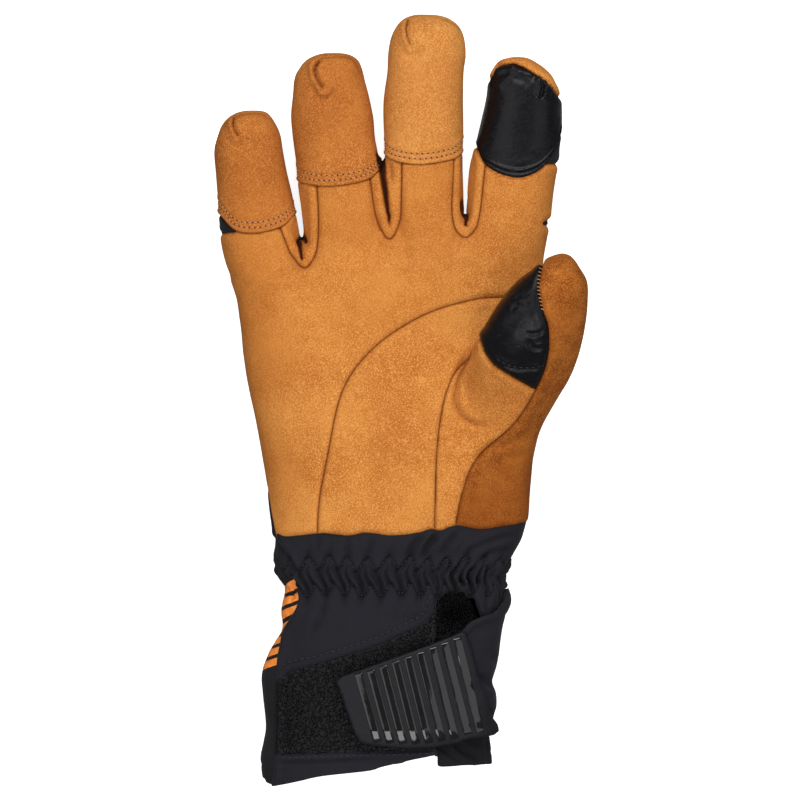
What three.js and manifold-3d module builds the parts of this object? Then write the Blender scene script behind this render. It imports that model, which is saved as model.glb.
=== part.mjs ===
// Right-hand winter cycling glove lying palm up on its back, fingers along +Y, thumb towards +X
// Leather hand with a short softshell cuff, drawn in at the wrist and closed by a strap with a rubber tab

import * as THREE from 'three';
import { mergeVertices } from 'three/addons/utils/BufferGeometryUtils.js';
import Module from 'manifold-3d';

const wasm = await Module();
wasm.setup();

// Driving dimensions in millimetres
const handWall = 2.5;
const cuffWall = 2;
const seamGap = 0.3;
const capStandsProud = 0.6;
const strapThickness = 2.4;
const loopThickness = 1.2;
const hookThickness = 0.8;
const tabThickness = 2.2;
const ribHeight = 0.8;
const ribWidth = 2.6;
const gussetSinksIn = 1.2;
const pleatHeight = 0.9;
const pleatCount = 12;
const tipLength = 16;
const handPower = 2.6;
const fingerPower = 2.3;
const fingerSides = 16;
const hollowSides = 9;
const handSides = 26;
const farAway = 90;
const tallest = 80;

// A table has named columns and one row for each cross-section or corner
function table(columns, rows) {
  const names = columns.split(' ');
  return rows.map((row) => Object.fromEntries(names.map((name, k) => [name, row[k]])));
}

// Cross-sections: place along Y, the two sides, the underside and the top
const section = 'y left right low high';

const little = table(section, [
  [30, -54, -38, 10, 22],
  [41, -60.5, -33.5, 3, 28],
  [51, -64.5, -34.5, 1, 28.5],
  [59.5, -66.5, -36.6, 1, 27.5],
  [67, -67.2, -38.3, 1.5, 27],
  [76, -68, -40.5, 2, 26.5],
  [84.5, -68.6, -42.5, 2.5, 26.5],
  [92.5, -69, -44, 3.5, 27],
  [98.5, -67.5, -45, 4.5, 27],
  [102.5, -65.7, -46.7, 6, 26.5],
  [105.5, -62.5, -49, 8, 25],
  [107.2, -58.5, -52.5, 11.5, 21.5],
]);

const ring = table(section, [
  [30, -32, -6, 8, 26],
  [41, -36, -2, 2, 31],
  [51, -37, -2.2, 1, 31],
  [61, -36, -4, 1, 30],
  [69, -36.6, -5.8, 1.5, 29.5],
  [79.5, -37.8, -6.8, 2, 29],
  [89, -38.7, -7.6, 2.5, 28.5],
  [97, -39.8, -9.4, 3, 28.5],
  [105.5, -40.5, -10.5, 3.5, 28.5],
  [113.5, -40, -12, 4.5, 29],
  [119.5, -39.3, -13.7, 5.5, 29],
  [123, -37.6, -14.6, 7, 28],
  [126, -35, -16.8, 9, 26.5],
  [128.5, -29, -21, 13, 23],
]);

const middle = table(section, [
  [30, 0, 22, 8, 27],
  [41, -3, 26, 2, 32],
  [52, -3.4, 25.4, 1, 32],
  [62.5, -4.4, 24.6, 1, 31],
  [70, -4.4, 22.8, 1, 30.5],
  [79.5, -5.4, 22.5, 1.5, 30],
  [89, -6, 22.4, 2, 29.5],
  [100, -6.5, 23, 2.5, 29.5],
  [111, -6.3, 22.8, 3, 29.5],
  [121.5, -5, 23, 4, 29.5],
  [128, -4.6, 23.8, 5, 29.5],
  [134, -3.5, 23.3, 6.5, 29],
  [138, -1.7, 21.6, 9, 27.5],
  [141, 1, 18, 12, 25],
  [142.6, 5.5, 13.5, 15.5, 21.5],
]);

const index = table(section, [
  [30, 26, 46, 9, 26],
  [41, 22, 52, 2, 31],
  [52, 23, 52.7, 1, 31],
  [62, 23.6, 54.3, 1, 30],
  [70, 24.6, 55.5, 1, 29.5],
  [78, 24.8, 56.4, 1.5, 29],
  [87.5, 26.1, 58, 2, 29],
  [98, 28.5, 59, 2.5, 29],
  [106.5, 30.5, 59.4, 3, 29.5],
  [113.5, 31.8, 59, 4, 29.5],
  [119.5, 32.4, 56.8, 5.5, 29],
  [123, 34, 53.8, 7, 28],
  [126, 36.5, 49.5, 9.5, 26],
  [127.6, 40, 46.5, 13.5, 22],
]);

const thumb = table(section, [
  [-46, 33, 43, 9, 21],
  [-33, 28, 47.2, 6, 27],
  [-22, 26, 48.7, 6, 31],
  [-11, 24.4, 51.6, 8, 36],
  [-0.5, 23.6, 57, 12, 42],
  [10, 24, 62.6, 19, 50],
  [19, 26.2, 65.7, 26, 57],
  [28, 31, 67.7, 32.5, 62],
  [37, 36.8, 68.5, 36, 64.5],
  [44, 42.7, 68, 38.5, 64.5],
  [49, 49.2, 66.4, 42, 62.5],
  [52, 53.8, 64.6, 45.5, 59.5],
  [53.6, 57.5, 62.5, 49, 56],
]);

const palm = table(section, [
  [-60, -47.5, 42, -4, 30],
  [-49.5, -47.5, 45.5, -4, 31.5],
  [-39, -48.6, 47, -4, 33],
  [-26, -50.3, 47.6, -4, 34.5],
  [-11, -53, 47.5, -4, 36],
  [2, -55.6, 48, -4, 36.5],
  [15, -57.9, 49, -4, 36.5],
  [26, -59, 50.5, -4, 36],
  [37, -60.5, 51.6, -4, 35],
  [46, -63, 52.5, -3, 33],
  [50, -60.5, 51, 0, 30],
  [54, -50, 46, 4, 25],
]);

// The last column is how far the pleats of the drawn-in wrist rise
const cuff = table(`${section} pleat`, [
  [-36, -47.5, 45.8, -4, 31, 0],
  [-50, -47.5, 44.5, -4, 30.5, 0.2],
  [-54, -47.4, 43.5, -4, 30, 0.7],
  [-58.5, -47, 41, -4, 28.5, 0.6],
  [-62, -46.5, 39, -4, 28.5, 1],
  [-66, -45.2, 37, -4, 27.5, 1],
  [-70, -43.6, 36, -4, 26.5, 0.6],
  [-73.5, -43.7, 34, -4, 27, 0],
  [-81, -45, 32.5, -4, 27.5, 0],
  [-90.5, -48, 32, -4, 27.5, 0],
  [-101.5, -51.2, 32, -4, 27.5, 0],
  [-112.5, -51, 32, -4, 27, 0],
  [-124, -50, 32, -4, 26.5, 0],
  [-136, -51.8, 32, -4, 25.5, 0],
  [-150, -51, 32, -4, 25, 0],
]);

// The strap's outer face, with the loop that it makes at the thumb side of the wrist
const strapFace = table(section, [
  [-66, -60, 39, -8, 30],
  [-70, -60, 41, -8, 30],
  [-76, -60, 41, -8, 30.7],
  [-81, -60, 38.5, -7, 30.7],
  [-86, -60, 35.5, -6.8, 30.7],
  [-101.5, -60, 34.8, -6.8, 30.7],
  [-112.5, -60, 34.8, -6.8, 30.2],
  [-124, -60, 34.8, -6.8, 29.7],
  [-140, -60, 34.8, -6.8, 28.7],
]);

// Side line between the palm side and the back of the hand
const sideLine = table('y z', [
  [-160, 11],
  [-50, 12],
  [0, 13],
  [50, 11],
  [80, 11],
  [110, 12],
  [128, 15],
  [160, 17],
]);

// Seams seen from above, as the points that a smooth curve runs through
const seam = 'x y';

const thenarSeam = table(seam, [
  [-31, -52],
  [-28, -23],
  [-21.5, 4],
  [-9.5, 20],
  [7, 31],
  [25, 37],
  [44, 37.5],
  [60, 35],
]);

const thumbSeam = table(seam, [
  [12.4, -52],
  [13, -22],
  [15.2, -3],
  [20, 11.5],
  [26, 18],
]);

const thumbSplit = table(seam, [
  [54.5, 60],
  [51, 45],
  [53.9, 26],
  [52.5, 10],
  [42, -8],
  [28, -21.5],
  [20.5, -45],
  [19.5, -60],
]);

const patchEdge = table(seam, [
  [26, 24],
  [31, 15.5],
  [40, 10],
  [56, 10],
]);

const crotches = {
  little_ring: table(seam, [
    [-44.6, 64.5],
    [-40.5, 54.5],
    [-35.5, 49.5],
    [-31.7, 54.5],
    [-31, 70],
    [-31.8, 86],
  ]),
  ring_middle: table(seam, [
    [-11.6, 90],
    [-10, 73],
    [-7.5, 63.5],
    [-4.3, 60.3],
    [-1.3, 63],
    [-0.3, 74],
    [0, 92],
  ]),
  middle_index: table(seam, [
    [20.2, 95],
    [19.2, 73],
    [20.6, 63.5],
    [23.8, 60.8],
    [27.2, 63.5],
    [29.4, 74],
    [31, 90],
  ]),
};

const capEdges = {
  little: table(seam, [[-72, 73], [-67, 69.5], [-61.5, 63.7], [-54, 62.2], [-44, 64.5], [-36, 73]]),
  ring: table(seam, [[-43, 84.5], [-36, 80.6], [-24.6, 79.4], [-14, 81.3], [-5, 89]]),
  middle: table(seam, [[-9, 94.5], [-4.5, 89.3], [6, 87.4], [16.7, 88.7], [25, 95.5]]),
  index: table(seam, [[24, 101], [30, 88], [41, 82.3], [48, 83.2], [56.5, 92], [62, 102]]),
};

const leatherHem = table(seam, [[-60, -51.5], [-31, -49.4], [0, -49.8], [22, -47.3], [60, -45.5]]);

// Corners seen from above
const cuffFrontLeft = table(seam, [
  [-46.5, -40],
  [-46, -52],
  [-40, -59],
  [-38.3, -73],
  [-44, -84],
  [-46.2, -100],
  [-47.5, -150],
]);
const openingLeft = 13.5;
const openingTop = -71.5;

const cuffBottom = table(seam, [
  [-60, -140.5],
  [-49, -142],
  [-44, -142],
  [-6, -135],
  [13.6, -131],
  [13.7, -135.3],
  [60, -135],
]);

const loopOutline = table(seam, [
  [-45.5, -103.5],
  [-41.5, -99.5],
  [-14, -92],
  [5, -83.5],
  [10.5, -80],
  [13, -75],
  [13, -129],
  [-17, -130],
  [-45.8, -131],
]);

const hookOutline = table(seam, [
  [-19, -105],
  [10, -93],
  [12, -125],
  [-10, -125],
]);

const tabOutline = table(seam, [
  [-24, -103.5],
  [-21.5, -101],
  [-3, -94.3],
  [23.5, -84.3],
  [28, -99],
  [35.5, -121.5],
  [33, -124],
  [20, -127],
  [5, -128.8],
  [-14, -127],
  [-17, -123.5],
]);

const strapOutline = table(seam, [
  [14, -88.5],
  [28, -81],
  [37, -77.5],
  [60, -66],
  [60, -118],
  [35, -122.5],
  [14, -127],
]);

// Grip ribs: the two ends of each one's centre line
const ribs = table('topX topY bottomX bottomY', [
  [-17.5, -102.5, -7.5, -124.5],
  [-12.5, -100.8, -2.3, -124.9],
  [-7.5, -99, 2.6, -125],
  [-2.5, -97.2, 7.4, -124.6],
  [2.5, -95.3, 12.2, -124],
  [7.5, -93.4, 17, -123.2],
  [12.5, -91.4, 21.8, -122.2],
  [17.4, -89.5, 26.6, -121],
  [22, -88, 31, -119.8],
]);

// Angles round a section, evenly spread
function evenAngles(sides) {
  return Array.from({ length: sides }, (_, k) => (2 * Math.PI * k) / sides);
}

// Angles that put a fold's ridge or valley at even steps across the top of the cuff
function pleatAngles() {
  const across = 2 * pleatCount;
  const reach = 0.93;
  const top = Array.from({ length: across + 1 }, (_, k) => {
    const u = reach * (1 - (2 * k) / across);
    return Math.acos(Math.sign(u) * Math.abs(u) ** (handPower / 2));
  });
  const side = top[0];
  const turns = 10;
  const sweep = Math.PI + 2 * side;
  const under = Array.from({ length: turns - 1 }, (_, k) => Math.PI - side + (sweep * (k + 1)) / turns);
  return [...top, ...under];
}

// Points of one cross-section, drawn in by the inset and never below what the glove rests on
function ringPoints(row, inset, angles, power, alongTip) {
  const halfWidth = (row.right - row.left) / 2;
  const halfHeight = (row.high - row.low) / 2;
  const middleX = (row.left + row.right) / 2;
  const middleZ = (row.low + row.high) / 2;
  const y = row.y - inset * alongTip;
  return angles.map((angle, k) => {
    const across = Math.cos(angle);
    const up = Math.sin(angle);
    const x = middleX + (halfWidth - inset) * Math.sign(across) * Math.abs(across) ** (2 / power);
    const z = middleZ + (halfHeight - inset) * Math.sign(up) * Math.abs(up) ** (2 / power);
    const fold = row.pleat && k <= 2 * pleatCount ? row.pleat * pleatHeight * (k % 2 ? 1 : -1) * up : 0;
    return [x, y, Math.max(z + fold, Math.max(inset, 0))];
  });
}

// Closed loft through the rows of a table; a tip is rounded off by its own last rows
function loft(rows, { inset, angles, power, tipped = false }) {
  const widest = Math.max(...rows.map((row) => row.right - row.left));
  const smallest = 2 * Math.max(inset, 0) + 3;
  const lastY = rows.at(-1).y;
  const used = rows.filter((row) => row.right - row.left > smallest && row.high - row.low > smallest);
  const rings = used.map((row) => {
    const nearTip = tipped && row.y > lastY - tipLength;
    const alongTip = nearTip ? Math.sqrt(1 - (row.right - row.left) / widest) : 0;
    return ringPoints(row, inset, angles, power, alongTip);
  });
  if (rings[0][0][1] > rings.at(-1)[0][1]) {
    rings.reverse();
  }
  const sides = angles.length;
  const centre = (points) => points.reduce((sum, p) => sum.map((v, i) => v + p[i] / sides), [0, 0, 0]);
  const start = centre(rings[0]);
  const end = centre(rings.at(-1));
  const endLift = tipped ? 0.5 : 0;
  const positions = [...rings.flat(2), ...start, end[0], end[1] + endLift, end[2]];
  const startAt = rings.length * sides;
  const faces = [];
  for (let k = 0; k < sides; k += 1) {
    const next = (k + 1) % sides;
    for (let r = 0; r + 1 < rings.length; r += 1) {
      const a = r * sides;
      const b = a + sides;
      faces.push(a + k, b + next, a + next, a + k, b + k, b + next);
    }
    const last = (rings.length - 1) * sides;
    faces.push(startAt, k, next, startAt + 1, last + next, last + k);
  }
  const geometry = new THREE.BufferGeometry();
  geometry.setAttribute('position', new THREE.Float32BufferAttribute(positions, 3));
  geometry.setIndex(faces);
  return toSolid(geometry);
}

// Geometry to a solid that can be joined and cut, and back
function toSolid(geometry) {
  geometry.deleteAttribute('normal');
  geometry.deleteAttribute('uv');
  const merged = mergeVertices(geometry, 1e-4);
  return new wasm.Manifold(new wasm.Mesh({
    numProp: 3,
    vertProperties: new Float32Array(merged.attributes.position.array),
    triVerts: new Uint32Array(merged.index.array),
  }));
}

function toGeometry(solid) {
  const mesh = solid.getMesh();
  const geometry = new THREE.BufferGeometry();
  geometry.setAttribute('position', new THREE.Float32BufferAttribute(mesh.vertProperties, 3));
  geometry.setIndex(Array.from(mesh.triVerts));
  geometry.computeVertexNormals();
  return geometry;
}

// Outline helpers: a smooth curve through a seam's points, and an outline grown outwards
const corner = (p) => new THREE.Vector2(p.x, p.y);

function smooth(points, steps = 9) {
  return new THREE.SplineCurve(points.map(corner)).getPoints(steps);
}

function grow(outline, distance) {
  const turnsLeft = !THREE.ShapeUtils.isClockWise(outline);
  return outline.map((point, k) => {
    const before = outline.at(k - 1);
    const after = outline[(k + 1) % outline.length];
    const inward = point.clone().sub(before).normalize();
    const onward = after.clone().sub(point).normalize();
    const bisector = inward.clone().add(onward).normalize();
    const outward = new THREE.Vector2(bisector.y, -bisector.x).multiplyScalar(turnsLeft ? 1 : -1);
    const stretch = Math.max(Math.abs(bisector.dot(onward)), 0.5);
    return point.clone().addScaledVector(outward, distance / stretch);
  });
}

// Upright block over an outline seen from above
function upright(outline, margin = 0) {
  const shape = new THREE.Shape(margin ? grow(outline, margin) : outline);
  const geometry = new THREE.ExtrudeGeometry(shape, { depth: tallest + 20, bevelEnabled: false });
  geometry.translate(0, 0, -10);
  return toSolid(geometry);
}

// Block over everything above the side line, raised by the given amount
function aboveSideLine(raise = 0) {
  const points = sideLine.map((p) => new THREE.Vector2(p.y, p.z + raise));
  points.push(new THREE.Vector2(points.at(-1).x, tallest + 10), new THREE.Vector2(points[0].x, tallest + 10));
  const options = { depth: 2 * farAway, bevelEnabled: false };
  const geometry = new THREE.ExtrudeGeometry(new THREE.Shape(points), options);
  geometry.translate(0, 0, -farAway);
  const axes = [new THREE.Vector3(0, 1, 0), new THREE.Vector3(0, 0, 1), new THREE.Vector3(1, 0, 0)];
  geometry.applyMatrix4(new THREE.Matrix4().makeBasis(...axes));
  return toSolid(geometry);
}

// Everything on one side of a seam: the seam's curve closed by far corners
function beside(curve, ...corners) {
  return [...curve, ...corners.map(([x, y]) => new THREE.Vector2(x, y))];
}

const join = (...solids) => solids.reduce((sum, solid) => sum.add(solid));

// Small crumbs that a cut leaves are dropped, and the main body kept
function mainBody(solid) {
  const bodies = solid.decompose();
  return bodies.reduce((best, body) => (body.volume() > best.volume() ? body : best));
}

const group = new THREE.Group();
group.name = 'winter_cycling_glove';

function piece(name, solid, finish) {
  const mesh = new THREE.Mesh(toGeometry(mainBody(solid)), finish);
  mesh.name = name;
  group.add(mesh);
}

const material = (color, roughness) => new THREE.MeshStandardMaterial({ color, roughness, metalness: 0 });
const palmLeather = material(0xd48a43, 0.7);
const suedeLeather = material(0xa0551e, 0.9);
const touchLeather = material(0x222225, 0.4);
const softshell = material(0x26262c, 0.85);
const loopPile = material(0x141419, 1);
const rubber = material(0x2a2a2e, 0.35);

// Hand: the outer form and the hollow that the hand goes into
const fingers = { little, ring, middle, index };
const everySecond = (rows) => rows.filter((row, k) => k % 2 === 0 || k === rows.length - 1);

function tipLoft(rows, inset) {
  return loft(rows, { inset, angles: evenAngles(fingerSides), power: fingerPower, tipped: true });
}

function tipHollow(rows) {
  const angles = evenAngles(hollowSides);
  return loft(everySecond(rows), { inset: handWall, angles, power: fingerPower, tipped: true });
}

function palmLoft(rows, inset, sides) {
  return loft(rows, { inset, angles: evenAngles(sides), power: handPower });
}

const palmOuter = palmLoft(palm, 0, handSides);
const fingersOuter = join(...Object.values(fingers).map((rows) => tipLoft(rows, 0)));
const thumbOuter = tipLoft(thumb, 0);
const hollow = join(
  palmLoft(everySecond(palm), handWall, 2 * hollowSides),
  ...Object.values(fingers).map(tipHollow),
  tipHollow(thumb),
);
const aboveHem = beside(smooth(leatherHem), [farAway, 160], [-farAway, 160]);
const handShell = join(palmOuter, fingersOuter, thumbOuter).subtract(hollow).intersect(upright(aboveHem));

// Fingertip caps: each stands a little proud and covers the whole tip
let handRest = handShell;
const capSolids = {};
for (const [name, rows] of Object.entries(fingers)) {
  const edge = smooth(capEdges[name], 8);
  const outline = beside(edge, [edge.at(-1).x + 6, 160], [edge[0].x - 6, 160]);
  const cap = tipLoft(rows, -capStandsProud).subtract(tipHollow(rows));
  const cleared = tipLoft(rows, -capStandsProud - seamGap).intersect(upright(outline, seamGap));
  capSolids[name] = cap.intersect(upright(outline));
  handRest = handRest.subtract(cleared);
}
const palmSide = aboveSideLine(seamGap / 2);
const backSide = aboveSideLine(-seamGap / 2);
piece('cap_little', capSolids.little, palmLeather);
piece('cap_ring', capSolids.ring, palmLeather);
piece('cap_middle', capSolids.middle, palmLeather);
piece('cap_index_front', capSolids.index.intersect(palmSide), touchLeather);
piece('cap_index_back', capSolids.index.subtract(backSide), palmLeather);

// Thumb: below the fork everything on its side of the seam, above the fork its own form
const thumbSeamCurve = smooth(thumbSeam);
const thumbBase = beside(thumbSeamCurve, [farAway, 18], [farAway, -60], [12.4, -60]);
const thumbZone = join(upright(thumbBase), tipLoft(thumb, -seamGap)).intersect(palmSide);
const thumbCleared = join(upright(thumbBase, seamGap), tipLoft(thumb, -2 * seamGap)).intersect(backSide);
const thumbShell = handRest.intersect(thumbZone);
handRest = handRest.subtract(thumbCleared);

const splitCurve = smooth(thumbSplit, 12);
const frontOutline = beside(splitCurve, [-20, -60], [-20, 60]);
const patchOutline = beside(smooth(patchEdge, 5), [farAway, 60], [0, 60]);
const thumbInside = thumbShell.intersect(upright(frontOutline));
piece('thumb_touch_patch', thumbInside.intersect(upright(patchOutline)), touchLeather);
piece('thumb_front', thumbInside.subtract(upright(patchOutline, seamGap)), palmLeather);
piece('thumb_back', thumbShell.subtract(upright(frontOutline, seamGap)), suedeLeather);

// Back of the hand with the backs of the fingers
piece('back_panel', handRest.subtract(backSide), softshell);

// Side strips between the fingers, then the patch at the thumb's root and the rest of the palm
let palmRest = handRest.intersect(palmSide);
for (const [name, points] of Object.entries(crotches)) {
  const outline = smooth(points, 10);
  piece(`fourchette_${name}`, palmRest.intersect(upright(outline)), palmLeather);
  palmRest = palmRest.subtract(upright(outline, seamGap));
}
const thenarOutline = beside(smooth(thenarSeam, 12), [farAway, 30], [farAway, -60], [-31, -60]);
piece('thenar_panel', palmRest.intersect(upright(thenarOutline)), palmLeather);
piece('palm_panel', palmRest.subtract(upright(thenarOutline, seamGap)), palmLeather);

// Cuff: one tube with a drawn-in wrist, cut into front, back and the gusset under the strap
const cuffLoft = (inset, angles) => loft(cuff, { inset, angles, power: handPower });
const cuffHollow = cuffLoft(cuffWall, evenAngles(2 * hollowSides));
const belowHem = beside(smooth(leatherHem), [farAway, -160], [-farAway, -160]);
const aboveBottom = beside(cuffBottom.map(corner), [farAway, 0], [-farAway, 0]);
const hemGap = belowHem.map((point) => new THREE.Vector2(point.x, point.y - seamGap));
const cuffTrim = upright(hemGap).intersect(upright(aboveBottom));
const cuffShell = cuffLoft(0, pleatAngles()).subtract(cuffHollow).intersect(cuffTrim);

const cuffFrontOutline = beside(
  smooth(cuffFrontLeft, 12),
  [openingLeft, -150],
  [openingLeft, openingTop],
  [farAway, openingTop],
  [farAway, -40],
);
const gussetTop = [[openingLeft, openingTop], [farAway, openingTop]];
const gussetCorners = [[openingLeft, -150], ...gussetTop, [farAway, -150]];
const gussetOutline = beside([], ...gussetCorners);
const cuffFront = cuffShell.intersect(upright(cuffFrontOutline)).intersect(palmSide);
const gussetOuter = cuffLoft(gussetSinksIn, evenAngles(2 * hollowSides));
const gussetShell = gussetOuter.subtract(cuffLoft(cuffWall + gussetSinksIn, evenAngles(2 * hollowSides)));
const gussetGap = upright(cuffFrontOutline, seamGap);
const gussetZone = upright(gussetOutline).subtract(gussetGap).intersect(palmSide);
const cuffGusset = gussetShell.intersect(cuffTrim).intersect(gussetZone);
const frontCleared = join(gussetGap, upright(gussetOutline, seamGap)).intersect(backSide);
piece('cuff_front', cuffFront, softshell);
piece('cuff_gusset', cuffGusset, softshell);
piece('cuff_back', cuffShell.subtract(frontCleared), softshell);

// Closure: loop pile on the cuff, strap round the thumb side, hook pad and ribbed tab on top
const strapLoft = (inset) => loft(strapFace, { inset, angles: evenAngles(handSides), power: handPower });
const over = (points) => upright(points.map(corner)).intersect(palmSide);
const aboveCuff = (height) => cuffLoft(-height, evenAngles(handSides));
const loopLayer = aboveCuff(seamGap + loopThickness).subtract(aboveCuff(seamGap));

piece('loop_field', loopLayer.intersect(over(loopOutline)), loopPile);
piece('hook_pad', strapLoft(0).subtract(strapLoft(hookThickness)).intersect(over(hookOutline)), loopPile);
piece('strap', strapLoft(0).subtract(strapLoft(strapThickness)).intersect(over(strapOutline)), softshell);

const tabPlate = strapLoft(-seamGap - tabThickness).subtract(strapLoft(-seamGap)).intersect(over(tabOutline));
const ribBlocks = ribs.map((rib) => {
  const top = new THREE.Vector2(rib.topX, rib.topY);
  const bottom = new THREE.Vector2(rib.bottomX, rib.bottomY);
  const along = bottom.clone().sub(top).normalize();
  const half = new THREE.Vector2(-along.y, along.x).multiplyScalar(ribWidth / 2);
  const corners = [[top, 1], [top, -1], [bottom, -1], [bottom, 1]];
  return upright(corners.map(([end, side]) => end.clone().addScaledVector(half, side)));
});
const tabTop = seamGap + tabThickness;
const ribLayer = strapLoft(-tabTop - ribHeight).subtract(strapLoft(-tabTop + tabThickness / 2));
piece('strap_tab', tabPlate.add(ribLayer.intersect(join(...ribBlocks))), rubber);

export default group;
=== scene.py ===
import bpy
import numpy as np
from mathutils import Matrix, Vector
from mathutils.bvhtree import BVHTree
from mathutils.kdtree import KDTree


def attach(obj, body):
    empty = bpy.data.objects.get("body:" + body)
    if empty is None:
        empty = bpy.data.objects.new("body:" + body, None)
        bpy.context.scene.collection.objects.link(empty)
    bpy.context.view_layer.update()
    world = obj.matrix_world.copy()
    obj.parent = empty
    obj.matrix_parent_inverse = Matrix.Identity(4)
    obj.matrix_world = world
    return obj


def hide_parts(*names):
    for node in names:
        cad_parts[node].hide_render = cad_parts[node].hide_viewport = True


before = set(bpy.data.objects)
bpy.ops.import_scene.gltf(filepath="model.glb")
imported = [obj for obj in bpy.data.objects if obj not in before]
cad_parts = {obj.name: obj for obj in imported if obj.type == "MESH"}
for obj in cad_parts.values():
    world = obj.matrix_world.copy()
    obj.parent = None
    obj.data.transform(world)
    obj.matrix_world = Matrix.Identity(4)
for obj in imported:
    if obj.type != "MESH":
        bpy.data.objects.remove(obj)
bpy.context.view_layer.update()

# %% [markdown]
# # A winter cycling glove, palm up
# The glove is sewn from leather and softshell panels over a padded hand. Every panel here is cut out of one
# smooth hand form, just as the real panels are cut to wrap one hand, so neighbours always meet along their
# seam. Lengths are in millimetres in the tables and become metres when a mesh is made.

MM = 0.001


# %% [markdown]
# ## Shader maths as plain expressions
# A texture value is easier to read as `grain * 0.4 + 0.3` than as two boxes and three wires. One small
# class wraps an output socket, and its operators add the Math nodes. Anything that isn't arithmetic goes
# through one method.

# %% A socket that can be added, multiplied and compared
class Wire:
    def __init__(self, finish, socket):
        self.finish = finish
        self.socket = socket

    def math(self, operation, other, swap=False):
        values = (other, self) if swap else (self, other)
        return self.finish.node("ShaderNodeMath", {"operation": operation}, dict(enumerate(values)))

    def __add__(self, other):
        return self.math("ADD", other)

    def __radd__(self, other):
        return self.math("ADD", other)

    def __sub__(self, other):
        return self.math("SUBTRACT", other)

    def __rsub__(self, other):
        return self.math("SUBTRACT", other, swap=True)

    def __mul__(self, other):
        return self.math("MULTIPLY", other)

    def __rmul__(self, other):
        return self.math("MULTIPLY", other)

    def clamp(self):
        return self.finish.node("ShaderNodeClamp", {}, {0: self})

    def __getitem__(self, name):
        return Wire(self.finish, self.socket.node.outputs[name])


# %% [markdown]
# ## A finish: one material with its own small node tree
# `node` makes any node: settings first, because they decide which sockets exist, then values or links. A
# colour is given as it looks on screen, from 0 to 255, and turned into the linear light that the shader
# works in.

# %% The finish class and the colour helper
def shade(red, green, blue):
    parts = np.array([red, green, blue]) / 255
    linear = np.where(parts <= 0.04045, parts / 12.92, ((parts + 0.055) / 1.055) ** 2.4)
    return (*linear, 1.0)


class Finish:
    def __init__(self, name, **constants):
        self.material = bpy.data.materials.new(name)
        self.material.use_nodes = True
        self.tree = self.material.node_tree
        self.surface = self.tree.nodes["Principled BSDF"]
        for socket, value in constants.items():
            self.surface.inputs[socket.replace("_", " ")].default_value = value

    def node(self, kind, settings, sockets):
        made = self.tree.nodes.new(kind)
        for key, value in settings.items():
            setattr(made, key, value)
        for key, value in sockets.items():
            if isinstance(value, Wire):
                self.tree.links.new(value.socket, made.inputs[key])
            else:
                made.inputs[key].default_value = value
        return Wire(self, next(socket for socket in made.outputs if socket.enabled))

    def place(self):
        return self.node("ShaderNodeTexCoord", {}, {})["Object"]

    def noise(self, size, detail=3.0, roughness=0.55, stretch=None, turn=0.0):
        where = self.place()
        if stretch:
            where = self.node("ShaderNodeMapping", {"vector_type": "TEXTURE"},
                              {"Vector": where, "Rotation": (0, 0, turn), "Scale": stretch})
        sockets = {"Vector": where, "Scale": 1 / (size * MM), "Detail": detail, "Roughness": roughness}
        return self.node("ShaderNodeTexNoise", {}, sockets)

    def mark(self, name):
        return self.node("ShaderNodeAttribute", {"attribute_name": name}, {})["Fac"]

    def mix(self, factor, first, second):
        return self.node("ShaderNodeMix", {"data_type": "RGBA"}, {0: factor, 6: first, 7: second})["Result"]

    def between(self, value, low, high, to_low=0.0, to_high=1.0):
        return self.node("ShaderNodeMapRange", {"interpolation_type": "SMOOTHSTEP"},
                         {0: value, 1: low, 2: high, 3: to_low, 4: to_high})

    def bump(self, height, depth, strength=1.0, under=None):
        sockets = {"Height": height, "Distance": depth * MM, "Strength": strength}
        if under:
            sockets["Normal"] = under
        return self.node("ShaderNodeBump", {}, sockets)

    def to(self, socket, value):
        self.tree.links.new(value.socket, self.surface.inputs[socket])


print("finishes can be written as expressions")


# %% [markdown]
# ## Tan nubuck leather
# Nubuck is buffed until it has a very short nap. It has no gloss: its colour drifts softly over a few
# millimetres, and a finer fleck lies over that. Painted shade darkens it along seams, creases and darts, and
# painted shadow turns it near black in the gaps between the fingers. The painted shade and `wear` are numbers
# that the mesh carries on its points.

# %% The leather finishes
def nubuck(name, deep, main, pale, nap=0.16, grain=0.5, blotch=0.15, pores=0.0):
    leather = Finish(name, Roughness=0.88, Sheen_Weight=0.05, Sheen_Roughness=0.6, Specular_IOR_Level=0.12)
    leather.surface.inputs["Sheen Tint"].default_value = pale
    cloud = leather.noise(26, 3, 0.6)
    patch = leather.noise(5, 3, 0.6)
    fleck = leather.noise(0.5, 2, 0.6, (1.3, 0.75, 1.0), 0.75)
    tone = leather.between(cloud * 0.4 + patch * blotch + fleck * (0.6 - blotch), 0.36, 0.6)
    ground = leather.mix(tone, deep, main)
    lit = leather.mix(leather.between(fleck * 0.9 + patch * 0.1, 0.46, 0.66) * 0.75, ground, pale)
    pitted = leather.mix(leather.between(leather.noise(1.5, 2, 0.5), 0.34, 0.46, pores, 0.0), lit, deep)
    worn = leather.mix(leather.mark("wear") * 0.6, pitted, deep)
    # painted shade: the dark brown mixed in along seams, creases, darts and finger gaps
    line = (0.3 * deep[0], 0.16 * deep[1], 0.1 * deep[2], 1.0)
    sewn = leather.mix((leather.mark("painted_shade") * 0.9).clamp(), worn, line)
    # painted shadow: where the shade mark passes 1, in the gaps between the fingers, the colour goes to near
    # black
    leather.to("Base Color", leather.mix((leather.mark("painted_shade") - 1.0).clamp(), sewn, shade(14, 8, 5)))
    soft = leather.bump(leather.noise(2.6, 3), 0.22, 0.6)
    leather.to("Normal", leather.bump(leather.noise(grain, 4, 0.7), nap, 0.8, soft))
    return leather.material


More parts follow.
